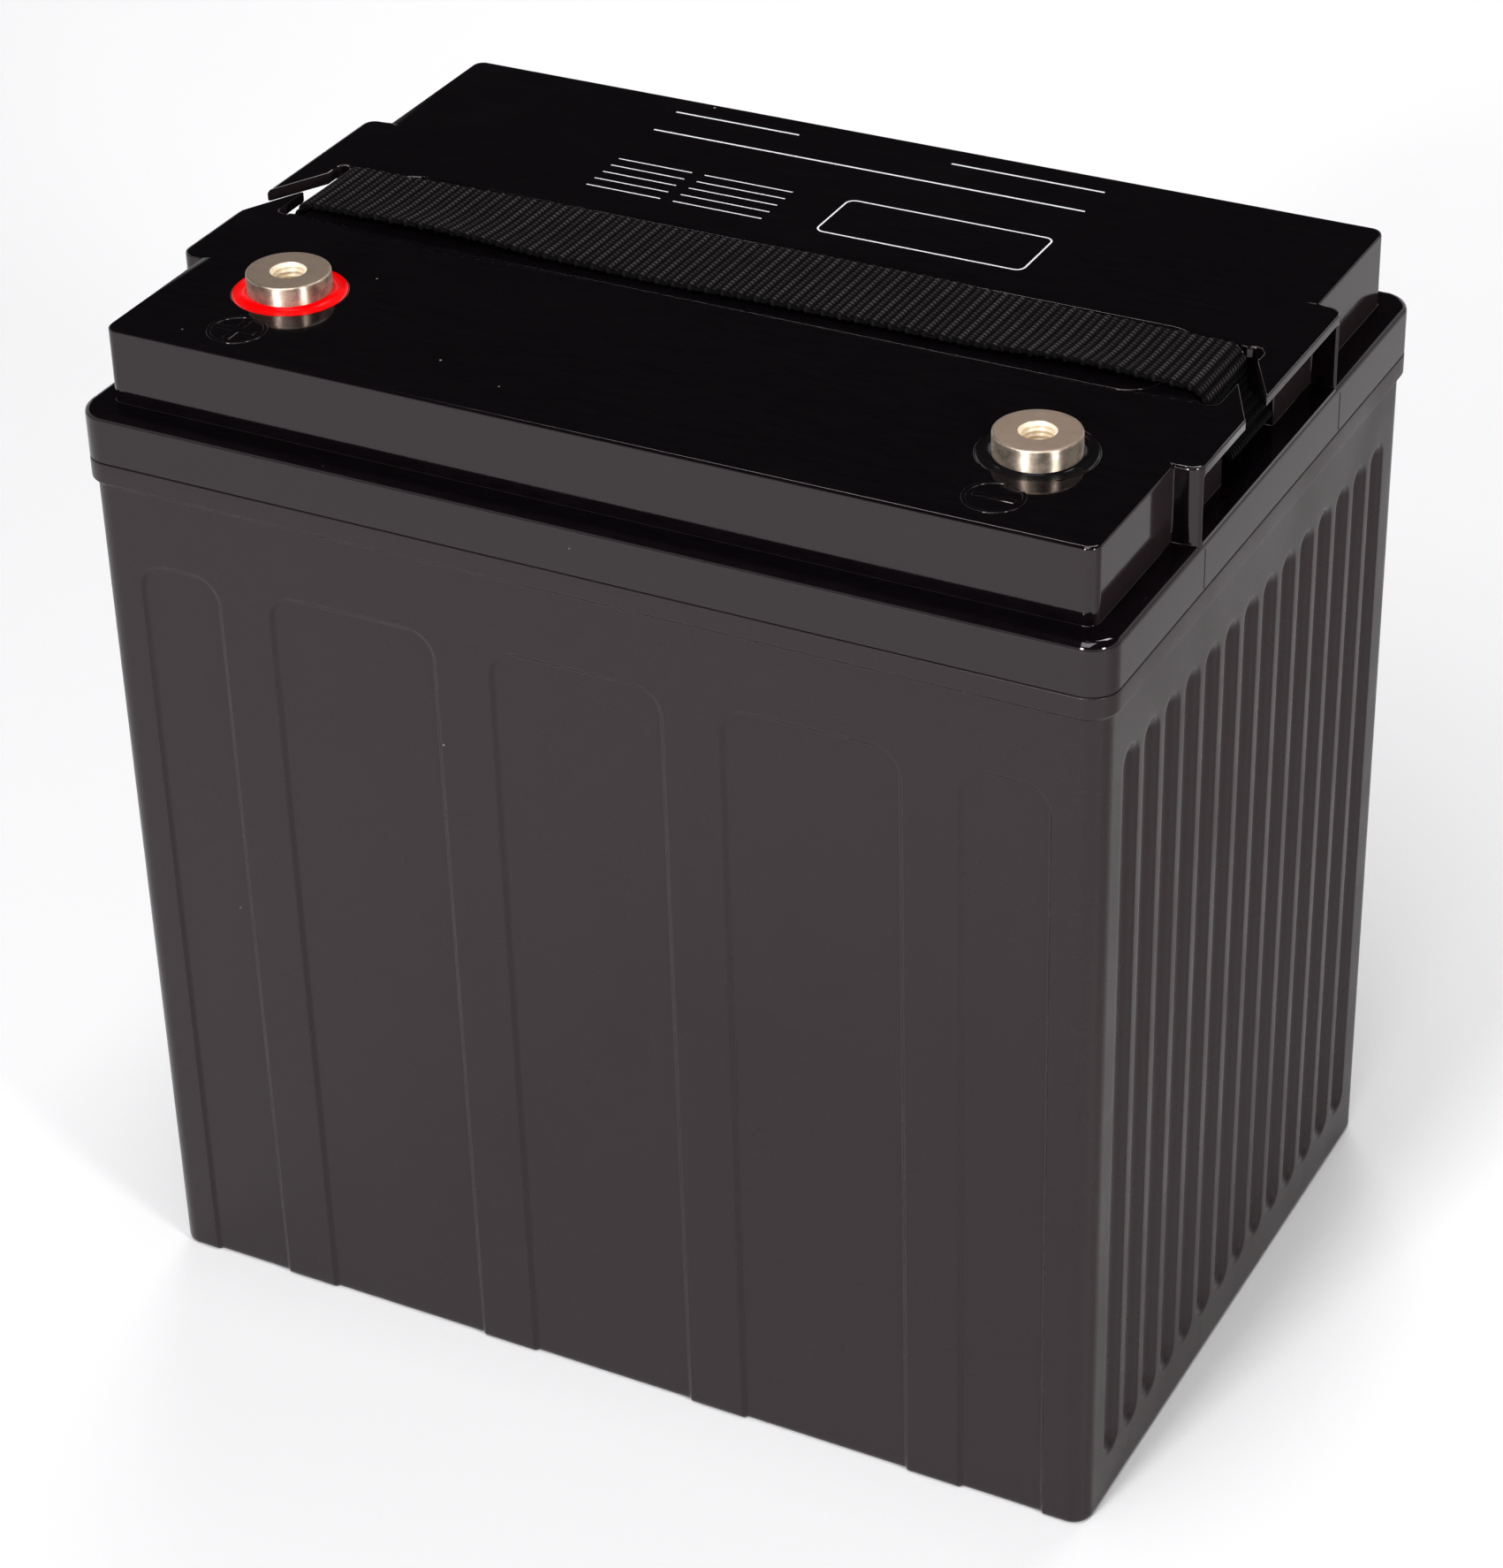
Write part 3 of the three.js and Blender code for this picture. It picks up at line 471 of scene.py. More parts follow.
def woven_webbing(name):
    """Black polypropylene webbing: rows of small nubs on ribs across the width, with painted light on the
    rib crests and painted shade between them. The mesh carries the place along and across the weave and
    the rib's height, in millimetres."""
    shader = Shader(name, YARN_PAINTED_SHADE, 0.6)
    shader.set("Specular IOR Level", 0.05)
    weave = shader.node("Attribute", attribute_name="weave").outputs["Vector"]
    apart = shader.node("SeparateXYZ")
    shader.link(weave, apart.inputs["Vector"])
    along, across, height = (apart.outputs[axis] for axis in "XYZ")
    wander = shader.maths("MULTIPLY", shader.noise(5, 2), 3.0)
    lean = shader.maths("MULTIPLY", along, math.pi / RIB_PITCH)
    turns = shader.maths("MULTIPLY", across, 2 * math.pi / NUB_PITCH)
    twisted = shader.maths("ADD", shader.maths("ADD", lean, turns), wander)
    twist = shader.maths("SINE", twisted)
    nubs = shader.ranged(twist, -0.7, 0.9, 0.05, 1)
    strands = shader.wave(across, STRAND_PITCH)
    # Painted light and shade: the rib crests get the light yarn colour and the hollows the dark one,
    # standing in for light raking across the ribs.
    crest = shader.maths("POWER", shader.ranged(height, 0.2, 1, 0, 1), 2.4)
    lit = shader.maths("MULTIPLY", crest, nubs)
    faded = shader.ranged(shader.noise(14, 3), 0.35, 0.65, 0.75, 1.2)
    light = shader.maths("MULTIPLY", lit, faded)
    shader.drive(shader.mixed(light, YARN_PAINTED_SHADE, YARN_PAINTED_LIGHT), "Base Color")
    fuzz = shader.noise(0.4, 3)
    shader.bump([(twist, 0.2, 1.0), (strands, 0.04, 0.6), (fuzz, 0.08, 0.5)])
    return shader.material


def printed_ink(name):
    """White screen print with pinholes."""
    shader = Shader(name, INK_WHITE, 0.45)
    worn = shader.ranged(shader.noise(0.5, 3), 0.6, 0.75, 0, 0.7)
    shader.drive(shader.mixed(worn, INK_WHITE, INK_WORN), "Base Color")
    return shader.material


def grained(name, light, dark, size_mm, roughness, depth_mm, metallic=0.0):
    """A material with two tones and a matching bump, for the pieces inside."""
    shader = Shader(name, light, roughness, metallic)
    grain = shader.noise(size_mm, 5, rough=0.65)
    shade = shader.ranged(grain, 0.35, 0.7, 0, 1)
    satin = shader.ranged(grain, 0.3, 0.7, roughness * 0.85, min(1, roughness * 1.15))
    shader.drive(shader.mixed(shade, light, dark), "Base Color")
    shader.drive(satin, "Roughness")
    shader.bump([(grain, depth_mm, 0.7)])
    return shader.material


def pasted_grid(name, light, dark):
    """Pasted plate: active paste over a cast grid that shows as a lattice."""
    shader = Shader(name, light, 0.85)
    apart = shader.node("SeparateXYZ")
    shader.link(shader.place, apart.inputs["Vector"])
    bars = []
    for axis, pitch in (("Y", 9.0), ("Z", 6.0)):
        wave = shader.wave(apart.outputs[axis], pitch * MM)
        bars.append(shader.ranged(wave, 0.8, 0.95, 0, 1))
    lattice = shader.maths("MAXIMUM", bars[0], bars[1])
    grain = shader.noise(1.2, 5, rough=0.7)
    paste = shader.mixed(grain, light, dark)
    shader.drive(shader.mixed(lattice, paste, GRID_LEAD), "Base Color")
    shader.bump([(lattice, 0.25, 0.6), (grain, 0.15, 0.7)])
    return shader.material


CASE_PLASTIC = moulded_plastic(
    "case_plastic",
    colour=(0.0112, 0.0080, 0.0088),
    # Lighter colour painted on the end faces, as painted light.
    painted_end_light=(0.020, 0.0135, 0.0138),
    worn=(0.0122, 0.009, 0.0098),
    roughness=0.28,
    dust=0.02,
    index=1.38,
    end_index=1.18,
)
LID_PLASTIC = moulded_plastic(
    "lid_plastic",
    colour=(0.0021, 0.0013, 0.0020),
    # Lighter colour painted on the end faces, as painted light.
    painted_end_light=(0.016, 0.0105, 0.0115),
    worn=(0.0038, 0.003, 0.0036),
    roughness=0.07,
    dust=0.16,
    index=1.48,
    end_index=1.185,
)
TERMINAL_METAL = tin_plate(
    "terminal_metal",
    colour=(0.80, 0.66, 0.53),
    # Darker metal colour painted on the top face, as painted shade.
    painted_top_shade=(0.28, 0.21, 0.16),
    # Bright colour painted in the bore, as painted light.
    painted_bore_light=(0.95, 0.83, 0.64),
    roughness=0.46,
)
RED_RESIN = poured_resin("red_resin", (0.92, 0.0008, 0.002), (0.6, 0.0004, 0.001), 0.25)
BLACK_RESIN = poured_resin("black_resin", (0.006, 0.005, 0.006), (0.003, 0.003, 0.003), 0.1)
WEBBING = woven_webbing("webbing")
INK = printed_ink("white_print")
LEAD = grained("lead", (0.24, 0.25, 0.265), (0.13, 0.135, 0.145), 1.5, 0.5, 0.05, 0.85)
RUBBER = grained("rubber", (0.024, 0.023, 0.023), (0.012, 0.012, 0.012), 0.8, 0.8, 0.03)
SEALANT = grained("joint_resin", (0.09, 0.09, 0.1), (0.06, 0.06, 0.068), 2.0, 0.45, 0.05)
GLASS_MAT = grained("glass_mat", (0.8, 0.79, 0.76), (0.62, 0.61, 0.58), 0.4, 0.95, 0.08)
POSITIVE_PASTE = pasted_grid("positive_paste", (0.085, 0.04, 0.027), (0.045, 0.02, 0.014))
NEGATIVE_PASTE = pasted_grid("negative_paste", (0.16, 0.165, 0.17), (0.09, 0.093, 0.1))


# ---------------------------------------------------------------- case


def places(stretches):
    """Sorted places from (start, end, step) stretches, without repeats nearer than 0.12 mm."""
    found = []
    for start, end, step in stretches:
        count = max(2, int(round((end - start) / step)) + 1)
        found.extend(np.linspace(start, end, count))
    kept = []
    for place in sorted(found):
        if not kept or place - kept[-1] > 0.12:
            kept.append(place)
    return np.array(kept)


def case_outline():
    """Points round the case at the flange's size: place, outward direction, side and distance along it."""
    reach_x = HALF_LENGTH - CORNER_RADIUS
    reach_y = HALF_WIDTH - CORNER_RADIUS
    before, past, step = 1.3, 5.5, 0.42  # close points at a panel's edge, most of them inside it
    fine = []
    for middle, width in PANELS:
        fine.append((middle - width / 2 - before, middle - width / 2 + past, step))
        fine.append((middle + width / 2 - past, middle + width / 2 + before, step))
    long_side = places([(-reach_x, reach_x, 6.0), *fine])
    short_side = places([(-reach_y, reach_y, 0.5)])
    quarter = np.linspace(0, math.pi / 2, 10)[1:-1]
    rows = []

    def corner(x, y, start):
        """Adds a quarter turn about a place."""
        for angle in quarter + start:
            way = (math.cos(angle), math.sin(angle))
            place = (x + CORNER_RADIUS * way[0], y + CORNER_RADIUS * way[1])
            rows.append((*place, *way, CORNER, 0.0))

    rows.extend((x, -HALF_WIDTH, 0, -1, LONG_FACE, x) for x in long_side)
    corner(reach_x, -reach_y, -math.pi / 2)
    rows.extend((HALF_LENGTH, y, 1, 0, SHORT_FACE, y) for y in short_side)
    corner(reach_x, reach_y, 0)
    rows.extend((x, HALF_WIDTH, 0, 1, LONG_FACE, x) for x in long_side[::-1])
    corner(-reach_x, reach_y, math.pi / 2)
    rows.extend((-HALF_LENGTH, y, -1, 0, SHORT_FACE, y) for y in short_side[::-1])
    corner(-reach_x, -reach_y, math.pi)
    return np.array(rows, float)


def panel_depth(along, z):
    """How far the long face is sunk at a place, in millimetres: rounded rectangles that run off the
    bottom, with a soft step at their edge."""
    depth = np.zeros(np.broadcast(along, z).shape)
    for centre, width in PANELS:
        dx = np.abs(along - centre) - (width / 2 - PANEL_RADIUS)
        dz = z - (PANEL_TOP - PANEL_RADIUS)
        outside = np.hypot(np.maximum(dx, 0), np.maximum(dz, 0))
        distance = outside + np.minimum(np.maximum(dx, dz), 0) - PANEL_RADIUS
        depth += PANEL_RELIEF * smooth_step(1.05 - distance / PANEL_RELIEF)
    return depth


def flute_depth(along, z):
    """How far the short face is scooped at a place, in millimetres."""
    half = FLUTE_WIDTH / 2
    radius = (half**2 + FLUTE_DEPTH**2) / (2 * FLUTE_DEPTH)
    edge_slope = half / math.sqrt(radius**2 - half**2)
    index = np.clip(np.round(along / FLUTE_PITCH + (FLUTE_COUNT - 1) / 2), 0, FLUTE_COUNT - 1)
    centre = (index - (FLUTE_COUNT - 1) / 2) * FLUTE_PITCH
    dz = np.maximum(np.maximum(FLUTE_BOTTOM + half - z, z - FLUTE_TOP + half), 0)
    off = np.hypot(along - centre, dz)
    inside = FLUTE_DEPTH - radius + np.sqrt(np.maximum(radius**2 - off**2, 0.01))
    depth = np.where(off < half, inside, (half - off) * edge_slope)
    blend = 0.28  # rounds the rim of a flute
    return (depth + np.sqrt(depth**2 + blend**2)) / 2 * (depth > -2)


def case_profile():
    """Rows up the case's outside: the height, how far it lies inside the wall's outline, and whether the
    row has relief."""
    rows = []
    for angle in np.linspace(0, math.pi / 2, 6):
        rows.append((BASE_EDGE * (1 - math.cos(angle)), BASE_EDGE * (1 - math.sin(angle)), 1))
    heights = places([
        (BASE_EDGE + 1, FLUTE_BOTTOM - 1, 3.0),
        (FLUTE_BOTTOM - 0.6, FLUTE_BOTTOM + 5, 0.45),
        (FLUTE_BOTTOM + 7, PANEL_TOP - 11, 14.0),
        (PANEL_TOP - 6, FLUTE_TOP + 1.4, 0.45),
        (FLUTE_TOP + 3, FLUTE_TOP + 11, 2.0),
    ])
    rows.extend((z, 0.0, 1) for z in heights)
    flange_bottom = FLANGE_TOP - FLANGE_HEIGHT
    for share in np.linspace(0, 1, 7):
        out = -FLANGE_STEP * float(smooth_step(share))
        rows.append((flange_bottom - FLANGE_FILLET * (1 - share), out, 1))
    rows.append((FLANGE_TOP - 2.0, -FLANGE_STEP, 0))
    for angle in np.linspace(0, math.pi / 2, 4):
        height = FLANGE_TOP - FLANGE_EDGE + FLANGE_EDGE * math.sin(angle)
        rows.append((height, -FLANGE_STEP + FLANGE_EDGE * (1 - math.cos(angle)), 0))
    return rows


def ring_at(half_x, half_y, radius, z, outline):
    """A rounded rectangle with one point for each point of the case's outline."""
    ways = outline[:, 2:4]
    centre_x = half_x - radius
    centre_y = half_y - radius
    reach_x = HALF_LENGTH - CORNER_RADIUS
    reach_y = HALF_WIDTH - CORNER_RADIUS
    x = np.clip(outline[:, 0], -reach_x, reach_x) * centre_x / reach_x
    y = np.clip(outline[:, 1], -reach_y, reach_y) * centre_y / reach_y
    return np.stack([x + ways[:, 0] * radius, y + ways[:, 1] * radius, np.full(len(x), z)], 1)


def case_piece():
    """The tub: relief outside, a rim for the lid, and four cells inside."""
    outline = case_outline()
    side, along = outline[:, 4], outline[:, 5]
    rows = []
    for z, inset, carved in case_profile():
        lean = DRAFT * (1 - min(z / (FLANGE_TOP - FLANGE_HEIGHT), 1))
        depth = np.full(len(outline), FLANGE_STEP + inset + lean)
        if carved:
            depth += np.where(side == LONG_FACE, panel_depth(along, z), 0)
            depth += np.where(side == SHORT_FACE, flute_depth(along, z), 0)
        place = outline[:, :2] - outline[:, 2:4] * depth[:, None]
        rows.append(np.column_stack([place, np.full(len(outline), z)]))
    inner_x = HALF_LENGTH - CASE_WALL
    inner_y = HALF_WIDTH - CASE_SIDE_WALL
    for grow, z in ((RIM_WALL, FLANGE_TOP), (RIM_WALL, RIM_TOP), (0, RIM_TOP), (0, FLOOR_TOP)):
        rows.append(ring_at(inner_x + grow, inner_y + grow, 3 + grow * 0.7, z, outline))
    count = len(outline)
    vertices = [tuple(place) for place in np.concatenate(rows)]
    faces = grid_faces(len(rows), count, True)
    faces.append(tuple(range(count))[::-1])
    top = (len(rows) - 1) * count
    faces.append(tuple(range(top, top + count)))
    cell = (2 * inner_x - 3 * PARTITION) / 4
    for link in (-1, 0, 1):
        x = link * (cell + PARTITION)
        low = (x - PARTITION / 2, -inner_y - 1, FLOOR_TOP - 1)
        high = (x + PARTITION / 2, inner_y + 1, PARTITION_TOP)
        add_block(vertices, faces, low, high)
    made = new_object("case_shell", vertices, faces)
    weigh_normals(made, 50)
    stand_for(made, "case", CASE_PLASTIC)


# ---------------------------------------------------------------- lid


def lid_edge_share(middle):
    """An edge's share of the rounding: little on the raised polarity marks, less below the block's foot
    and more on the outer ends of the brackets."""
    beside_terminal = abs(abs(middle.x) - abs(TERMINAL_X)) < MARK_REACH
    in_front = MARK_NEAR < TERMINAL_Y - middle.y < MARK_FAR
    upright = COLLAR_TOP + 2 < middle.z < LID_TOP - 2
    if middle.z > LID_TOP - 0.5 and beside_terminal and in_front:
        return 0.13
    if middle.z < COLLAR_TOP + 0.5:
        return 0.35
    if upright and abs(middle.x) > HALF_LENGTH - 0.3:
        return 1.7
    return 1.0


def lid_piece():
    """The moulded lid, with its edges rounded."""
    made = softened("lid", "lid_shell", LID_EDGE, 3, lid_edge_share)
    stand_for(made, "lid", LID_PLASTIC)


def mould_lines():
    """Thin raised parting lines below the ends of the brackets: slim wedges sunk into the lid."""
    vertices, faces = [], []
    for side in (-1, 1):
        for y in (BRACKET_FRONT + 4.5, BRACKET_BACK + 0.4):
            first = len(vertices)
            root = side * (HALF_LENGTH - 0.3)
            crest = side * (HALF_LENGTH + PARTING_LINE_RISE)
            section = [(root, y - PARTING_LINE_HALF), (crest, y), (root, y + PARTING_LINE_HALF)]
            if side < 0:
                section.reverse()
            for z in (LID_LOW.z + 0.4, COLLAR_TOP - 2.6):
                vertices.extend((px, py, z) for px, py in section)
            faces.extend(grid_faces(2, 3, True, first))
            faces.append((first + 2, first + 1, first))
            faces.append((first + 3, first + 4, first + 5))
    made = new_object("lid_mould_lines", vertices, faces, False)
    made.data.materials.append(LID_PLASTIC)
    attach(made, "battery")


def cover_piece():
    """The flush plate over the valves, with its edges rounded."""
    made = softened("valve_cover", "valve_cover_plate", COVER_EDGE, 3)
    stand_for(made, "valve_cover", LID_PLASTIC)


def frame_outline(x0, x1, y0, y1, radius, steps=6):
    """Corner points of a rounded rectangle, anticlockwise."""
    points = []
    corners = ((x1, y1, 0), (x0, y1, 1), (x0, y0, 2), (x1, y0, 3))
    for x, y, quarter in corners:
        cx = x - radius if x == x1 else x + radius
        cy = y - radius if y == y1 else y + radius
        for i in range(steps + 1):
            angle = (quarter + i / steps) * math.pi / 2
            points.append((cx + radius * math.cos(angle), cy + radius * math.sin(angle)))
    return points


def add_frame(vertices, faces, outer, inner, bottom, top):
    """Adds a closed frame between two outlines and two heights."""
    first = len(vertices)
    for ring, z in ((outer, bottom), (outer, top), (inner, top), (inner, bottom)):
        vertices.extend((x, y, z) for x, y in ring)
    count = len(outer)
    faces.extend(grid_faces(4, count, True, first))
    last = first + 3 * count
    for i in range(count):
        j = (i + 1) % count
        faces.append((last + i, last + j, first + j, first + i))


def lid_print():
    """Plain printed rules and a blank frame on the back half of the lid."""
    bottom, top = LID_TOP - 0.02, LID_TOP + 0.03
    vertices, faces = [], []

    def rule(x0, x1, y, width):
        """Adds a printed line along x."""
        add_block(vertices, faces, (x0, y - width / 2, bottom), (x1, y + width / 2, top))

    head_row, second_row = 76.8, 65.0
    rule(PRINT_LEFT, -26.8, head_row, RULE_WIDTH)
    rule(14.9, PRINT_RIGHT, head_row, RULE_WIDTH)
    rule(PRINT_LEFT, PRINT_RIGHT, second_row, RULE_WIDTH)
    for row in range(5):
        y = 46.0 - FINE_RULE_PITCH * row
        rule(-60.8, -40.5, y, FINE_RULE_WIDTH)
        rule(-37.0, -13.0, y, FINE_RULE_WIDTH)
    x0, x1, y0, y1 = 1.2, 55.4, 28.9, 48.2
    radius, line = 2.4, 0.45
    outer = frame_outline(x0, x1, y0, y1, radius)
    inner = frame_outline(x0 + line, x1 - line, y0 + line, y1 - line, radius - line)
    add_frame(vertices, faces, outer, inner, bottom, top)
    made = new_object("lid_print", vertices, faces, False)
    made.data.materials.append(INK)
    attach(made, "battery")


# ---------------------------------------------------------------- terminals and potting


def turn_shares(segments):
    """Shares of a turn, one for each segment."""
    return np.arange(segments) / segments


def points_round(radius, z, x, y, segments):
    """Points round a vertical axis. The radius and the height may be arrays round it."""
    angles = turn_shares(segments) * 2 * math.pi
    radius = np.broadcast_to(radius, segments)
    height = np.broadcast_to(z, segments)
    return zip(x + radius * np.cos(angles), y + radius * np.sin(angles), height)


def turned_piece(name, rows, x, y, segments):
    """A turned piece from (radius, z) rows, of which the first and the last close on the axis."""
    vertices = [(x, y, rows[0][1])]
    for radius, z in rows[1:-1]:
        vertices.extend(points_round(radius, z, x, y, segments))
    vertices.append((x, y, rows[-1][1]))
    count = len(rows) - 2
    faces = [(0, 1 + (i + 1) % segments, 1 + i) for i in range(segments)]
    faces.extend(grid_faces(count, segments, True, 1))
    last, top = len(vertices) - 1, 1 + (count - 1) * segments
    faces.extend((top + i, top + (i + 1) % segments, last) for i in range(segments))
    return new_object(name, vertices, faces)


def ring_piece(name, rows, x, y, segments):
    """A turned ring whose section closes on itself, from (radius, z) rows."""
    vertices = []
    for radius, z in rows:
        vertices.extend(points_round(radius, z, x, y, segments))
    faces = grid_faces(len(rows), segments, True)
    last = (len(rows) - 1) * segments
    for i in range(segments):
        j = (i + 1) % segments
        faces.append((last + i, last + j, j, i))
    return new_object(name, vertices, faces)


def thread_rows(segments, top, bottom):
    """Rows down a tapped hole: a helical groove that fades out at the bottom."""
    turn = turn_shares(segments)
    rows = []
    for z in np.arange(top, bottom, -THREAD_PITCH / 10):
        wave = 0.5 - 0.5 * np.cos(2 * math.pi * (z / THREAD_PITCH + turn))
        fade = min(1.0, (z - bottom) / THREAD_PITCH)
        rows.append((THREAD_MINOR + (THREAD_MAJOR - THREAD_MINOR) * wave * fade, z))
    return rows


def terminal_piece(name, side, segments=96):
    """Terminal button with a seal groove, a rounded rim and an M8 thread."""
    groove_radius = TERMINAL_RADIUS - GROOVE_DEPTH
    rows = [(0, TERMINAL_LOW.z), (TERMINAL_RADIUS, TERMINAL_LOW.z)]
    rows += [(TERMINAL_RADIUS, GROOVE_LOW), (groove_radius, GROOVE_LOW)]
    rows += [(groove_radius, GROOVE_HIGH), (TERMINAL_RADIUS, GROOVE_HIGH)]
    rows += [(TERMINAL_RADIUS, LID_TOP), (TERMINAL_RADIUS, TERMINAL_TOP - TERMINAL_RIM - 0.1)]
    for angle in np.linspace(0, math.pi / 2, 5):
        rows.append((
            TERMINAL_RADIUS - TERMINAL_RIM * (1 - math.cos(angle)),
            TERMINAL_TOP - TERMINAL_RIM * (1 - math.sin(angle)),
        ))
    rows += [(radius, TERMINAL_TOP) for radius in (8.2, 6.2, BORE_MOUTH + 0.06)]
    rows += [(BORE_MOUTH, TERMINAL_TOP - 0.03), (BORE_MOUTH - 0.04, TERMINAL_TOP - 0.12)]
    rows.append((THREAD_MAJOR + 0.02, TERMINAL_TOP - 0.5))
    hole_bottom = TERMINAL_TOP - BORE_DEPTH
    rows += thread_rows(segments, TERMINAL_TOP - 0.6, hole_bottom + 2.5)
    rows += [(THREAD_MINOR, hole_bottom + 2.3), (THREAD_MINOR, hole_bottom), (0, hole_bottom - 1.2)]
    made = turned_piece(name + "_terminal_button", rows, side * abs(TERMINAL_X), TERMINAL_Y, segments)
    weigh_normals(made, 50)
    stand_for(made, name + "_terminal", TERMINAL_METAL)


def potting_piece(name, side, material, climb, seed, segments=96):
    """Poured resin ring: it climbs the terminal and the well's wall, and dips unevenly between them."""
    random = np.random.default_rng(seed)
    turn = turn_shares(segments) * 2 * math.pi
    waves = sum(
        random.uniform(0.02, 0.07) * np.sin(n * turn + random.uniform(0, 6.28)) for n in (1, 2, 3, 5)
    )
    inner = TERMINAL_RADIUS + 0.05
    outer = WELL_RADIUS - 0.05
    rows = [(inner, POTTING_LOW.z), (outer, POTTING_LOW.z), (outer, LID_TOP - 0.12)]
    for share in np.linspace(0.015, 0.985, 14):
        at_wall = 0.42 * math.exp(-share * 11)
        at_terminal = climb * math.exp(-(1 - share) * 6)
        level = LID_TOP - 0.5 + at_wall + at_terminal
        rows.append((outer - share * (outer - inner), level + waves * math.sin(share * math.pi)))
    made = ring_piece(name + "_resin_ring", rows, side * abs(TERMINAL_X), TERMINAL_Y, segments)
    weigh_normals(made, 60)
    stand_for(made, name + "_potting", material)


# ---------------------------------------------------------------- strap


def arc_points(centre_x, centre_z, radius, start, end, count):
    """Points of an arc in the plane of x and z."""
    angles = np.linspace(start, end, count)
    return [(centre_x + radius * math.cos(a), centre_z + radius * math.sin(a)) for a in angles]


def strap_line():
    """Middle line of the strap, from the left end to the right one, as closely spaced points."""
    level = STRAP_HIGH.z - STRAP_THICKNESS / 2
    bend_z = level - STRAP_BEND_RADIUS
    flare_x = STRAP_BEND_X + STRAP_BEND_RADIUS + STRAP_FLARE_RADIUS
    half = [(x, level) for x in np.linspace(0, STRAP_BEND_X, 240)[:-1]]
    half += arc_points(STRAP_BEND_X, bend_z, STRAP_BEND_RADIUS, math.pi / 2, 0, 16)
    half.append((half[-1][0], (bend_z + STRAP_FLARE_Z) / 2))
    turned = math.pi + STRAP_FLARE_ANGLE
    half += arc_points(flare_x, STRAP_FLARE_Z, STRAP_FLARE_RADIUS, math.pi, turned, 10)
    x, z = half[-1]
    reach = (math.sin(STRAP_FLARE_ANGLE), -math.cos(STRAP_FLARE_ANGLE))
    half.append((x + STRAP_TAIL * reach[0], z + STRAP_TAIL * reach[1]))
    left = [(-x, z) for x, z in half[:0:-1]]
    return np.array(left + half)


def even_normals(x, z):
    """Upward normals of a line, evened out over its neighbours."""
    tangent = np.gradient(np.stack([x, z], 1), axis=0)
    for axis in (0, 1):
        padded = np.pad(tangent[:, axis], 2, mode="edge")
        tangent[:, axis] = np.convolve(padded, np.ones(5) / 5, "valid")
    tangent /= np.linalg.norm(tangent, axis=1)[:, None]
    return np.stack([-tangent[:, 1], tangent[:, 0]], 1)


def distances_along(line):
    """How far along a line each of its points lies."""
    return np.concatenate([[0], np.cumsum(np.hypot(*np.diff(line, axis=0).T))])


def rib_places(ribs):
    """Places along the strap as shares of its length: a few on each rib, and the end."""
    within = np.array([0.0, 0.12, 0.3, 0.5, 0.7, 0.88])
    return np.append((np.arange(ribs)[:, None] + within).ravel() / ribs, 1.0)


def strap_surface(line, reach, columns):
    """Points of the strap's upper and lower face, row by row, with the place in the weave of each."""
    length = reach[-1]
    ribs = int(round(length / RIB_PITCH))
    along = rib_places(ribs) * length
    x = np.interp(along, reach, line[:, 0])
    z = np.interp(along, reach, line[:, 1])
    normal = even_normals(x, z)

    # How the band lies: slack and sway over the lid, narrower towards the ends, and its front edge a
    # little off the lid there.
    middle = np.clip(1 - (np.abs(x) / STRAP_BEND_X) ** 4, 0, 1)
    slack = middle * (0.22 + 0.16 * np.sin(x / 17.0) + 0.10 * np.sin(x / 6.3 + 1))
    sway = middle * (0.35 * np.sin(x / 41.0 + 0.6) + 0.12 * np.sin(x / 11.0))
    narrowed = 1 - 0.10 * smooth_step((np.abs(x) - 40) / 70)
    raised = 1.2 * np.exp(-(((x + 78) / 28) ** 2)) + 1.2 * np.exp(-(((x - 88) / 20) ** 2))

    # Ribs, every second one a little heavier, and the loops of the selvedge.
    phase = along / length * ribs
    rib = np.sin(math.pi * np.mod(phase, 1)) ** 1.1
    heavy = 1 + 0.15 * np.where(np.mod(np.floor(phase), 2) == 0, 1, -1)
    loops = SELVEDGE_LOOP * np.abs(np.sin(phase * math.pi / 2)) ** 0.7
    body = STRAP_THICKNESS / 2 - RIB_HEIGHT + RIB_HEIGHT * rib * heavy
    half_width = (STRAP_HALF_WIDTH - SELVEDGE_LOOP + loops) * narrowed
    # Painted shade: the rib height, which the webbing shader turns into colour, drops down the tails below
    # the bend, so the tails in the slots are painted dark.
    tail_painted_shade = 1 - 0.75 * smooth_step((STRAP_HIGH.z - STRAP_BEND_RADIUS * 0.6 - z) / 3.0)

    across = np.sin(np.linspace(-1, 1, columns) * math.pi / 2 * 0.86)
    across /= across[-1]
    places, weaves = [], []
    for face in (1, -1):
        sheet, weave = [], []
        for s in across:
            edge = max(0.0, (abs(s) - 0.93) / 0.07)
            taper = math.sqrt(max(0.0, 1 - edge**2)) * 0.85 + 0.15 * (1 - edge)
            offset = face * body * taper + slack + raised * max(0.0, -s) ** 1.5
            y = s * half_width + sway
            sheet.append(np.stack([x + normal[:, 0] * offset, y, z + normal[:, 1] * offset], 1))
            # The stored height carries the painted shade of the tails.
            height = rib * heavy * tail_painted_shade * (1 - 0.6 * edge)
            weave.append(np.stack([along, s * half_width, height], 1))
        places.append(np.stack(sheet, 1).reshape(-1, 3))
        weaves.append(np.stack(weave, 1).reshape(-1, 3))
    return np.concatenate(places), np.concatenate(weaves)


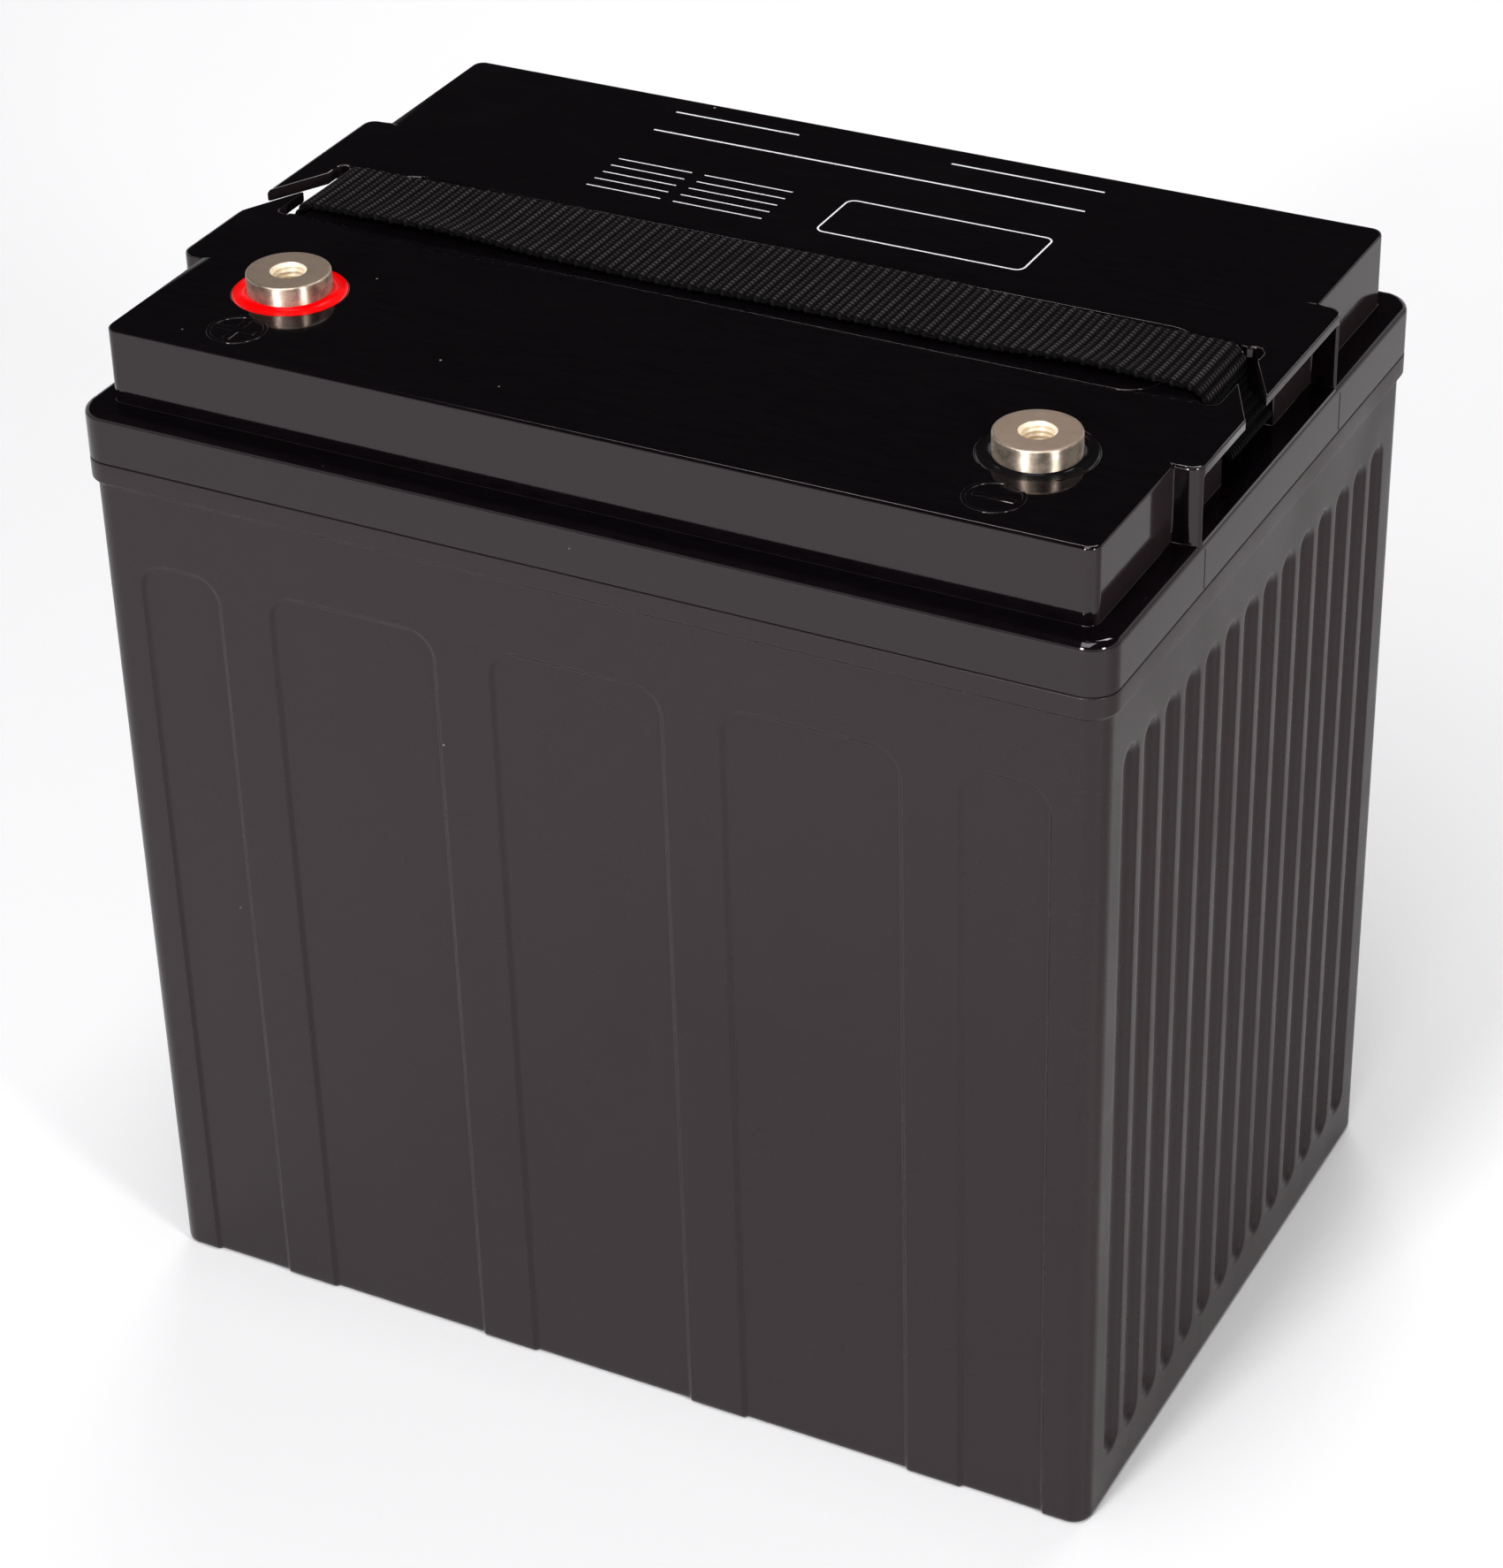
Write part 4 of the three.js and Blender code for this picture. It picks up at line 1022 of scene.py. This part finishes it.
def two_sided_faces(rows, columns):
    """Faces of an upper and a lower grid, joined round their rim."""
    half_count = rows * columns
    faces = grid_faces(rows, columns, False)
    faces += [tuple(half_count + i for i in face[::-1]) for face in faces]
    rim = list(range(columns))
    rim += [r * columns + columns - 1 for r in range(1, rows)]
    rim += [(rows - 1) * columns + c for c in range(columns - 2, -1, -1)]
    rim += [r * columns for r in range(rows - 2, 0, -1)]
    for a, b in zip(rim, rim[1:] + rim[:1]):
        faces.append((b, a, a + half_count, b + half_count))
    return faces


def strap_piece():
    """Webbing with rounded ribs across it, looped selvedges and a little slack over the lid."""
    line = strap_line()
    reach = distances_along(line)
    columns = 48
    vertices, weave = strap_surface(line, reach, columns)
    rows = len(vertices) // (2 * columns)
    made = new_object("ribbed_strap", vertices, two_sided_faces(rows, columns))
    stored = made.data.attributes.new("weave", "FLOAT_VECTOR", "POINT")
    stored.data.foreach_set("vector", weave.ravel())
    shape = bmesh.new()
    shape.from_mesh(made.data)
    bmesh.ops.recalc_face_normals(shape, faces=shape.faces)
    shape.to_mesh(made.data)
    shape.free()
    made.data.shade_smooth()
    stand_for(made, "carry_strap", WEBBING, "strap")


# ---------------------------------------------------------------- inner pieces


def dress(node, material):
    """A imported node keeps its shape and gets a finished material."""
    for slot in NODES[node].material_slots:
        slot.material = material
    NODES[node].data.shade_smooth()
    NODES[node].data.set_sharp_from_angle(angle=math.radians(35))


def dress_inner_pieces():
    """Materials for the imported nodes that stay: they are inside and seen only with the lid away."""
    dress("sealant_bead", SEALANT)
    for name in ("positive", "negative"):
        dress(name + "_seal_ring", RUBBER)
        dress(name + "_post", LEAD)
    for cell in range(1, 5):
        dress(f"positive_plates_{cell}", POSITIVE_PASTE)
        dress(f"negative_plates_{cell}", NEGATIVE_PASTE)
        dress(f"separator_{cell}", GLASS_MAT)
        dress(f"valve_cap_{cell}", RUBBER)
    for link in range(1, 4):
        dress(f"cell_link_{link}", LEAD)


# ---------------------------------------------------------------- stage


def floor_plane():
    """Plain pale floor."""
    half = 8000.0
    corners = [(-half, -half, 0), (half, -half, 0), (half, half, 0), (-half, half, 0)]
    floor = new_object("floor", corners, [(0, 1, 2, 3)], False)
    shader = Shader("floor_paper", (0.84, 0.835, 0.845), 0.85)
    tone = shader.noise(900, 2)
    shader.drive(shader.mixed(tone, (0.855, 0.848, 0.86), (0.83, 0.823, 0.835)), "Base Color")
    floor.data.materials.append(shader.material)


def soft_box(name, place, aim, width, tall, power):
    """A rectangular light at a place in metres, turned towards another place. The power is in watts."""
    data = bpy.data.lights.new(name, "AREA")
    data.shape = "RECTANGLE"
    data.size = width
    data.size_y = tall
    data.energy = power
    lamp = bpy.data.objects.new(name, data)
    lamp.location = place
    lamp.rotation_euler = (Vector(aim) - lamp.location).to_track_quat("-Z", "Y").to_euler()
    bpy.context.scene.collection.objects.link(lamp)


def round_the_battery(azimuth, distance, height):
    """A place in metres; azimuth 0 is in front of the long face, 90 beyond the right end."""
    angle = math.radians(azimuth)
    return (distance * math.sin(angle), -distance * math.cos(angle), height)


def studio_world():
    """Pale near the horizon and dark above it, as in a studio with pale walls and a dark ceiling."""
    world = bpy.data.worlds.new("studio")
    world.use_nodes = True
    tree = world.node_tree
    place = tree.nodes.new("ShaderNodeTexCoord")
    apart = tree.nodes.new("ShaderNodeSeparateXYZ")
    ramp = tree.nodes.new("ShaderNodeMapRange")
    tree.links.new(place.outputs["Generated"], apart.inputs["Vector"])
    tree.links.new(apart.outputs["Z"], ramp.inputs["Value"])
    for key, number in (("From Min", 0.2), ("From Max", 0.36), ("To Min", 0.85), ("To Max", 0.012)):
        ramp.inputs[key].default_value = number
    tree.links.new(ramp.outputs["Result"], tree.nodes["Background"].inputs["Color"])
    bpy.context.scene.world = world


def camera():
    """The camera at the photograph's viewing angle, with a short roll."""
    azimuth, elevation, roll = (math.radians(a) for a in CAMERA_ANGLES)
    back = Vector((
        math.sin(azimuth) * math.cos(elevation),
        -math.cos(azimuth) * math.cos(elevation),
        math.sin(elevation),
    ))
    right = (-back).cross(Vector((0, 0, 1))).normalized()
    up = right.cross(-back)
    rolled_right = right * math.cos(roll) + up * math.sin(roll)
    rolled_up = -right * math.sin(roll) + up * math.cos(roll)
    matrix = Matrix((rolled_right, rolled_up, back)).transposed().to_4x4()
    matrix.translation = Vector(CAMERA_PLACE)
    data = bpy.data.cameras.new("camera")
    data.sensor_width = SENSOR_WIDTH
    data.lens = FOCAL_LENGTH
    made = bpy.data.objects.new("camera", data)
    made.matrix_world = matrix
    bpy.context.scene.collection.objects.link(made)
    bpy.context.scene.camera = made


def stage():
    """Floor, sky and lights: a high key light, a light on the floor behind, and two upright strips that
    draw bright bands on the terminals."""
    floor_plane()
    studio_world()
    middle = (0, 0, 0.2)
    left = round_the_battery(-5, STRIP_DISTANCE, STRIP_HEIGHT)
    right = round_the_battery(66, STRIP_DISTANCE, STRIP_HEIGHT)
    soft_box("key", (0.05, -0.9, 2.3), middle, width=1.1, tall=2.2, power=39)
    soft_box("back", (-0.3, 1.4, 2.15), (-0.1, 2.4, 0), width=1.8, tall=0.8, power=48)
    soft_box("left_strip", left, middle, width=0.34, tall=0.6, power=27)
    soft_box("right_strip", right, middle, width=0.32, tall=0.5, power=17)
    bpy.context.scene.view_settings.view_transform = "Standard"


camera()
case_piece()
lid_piece()
mould_lines()
cover_piece()
lid_print()
terminal_piece("positive", -1)
potting_piece("positive", -1, RED_RESIN, climb=1.2, seed=3)
terminal_piece("negative", 1)
potting_piece("negative", 1, BLACK_RESIN, climb=0.6, seed=8)
strap_piece()
dress_inner_pieces()
stage()
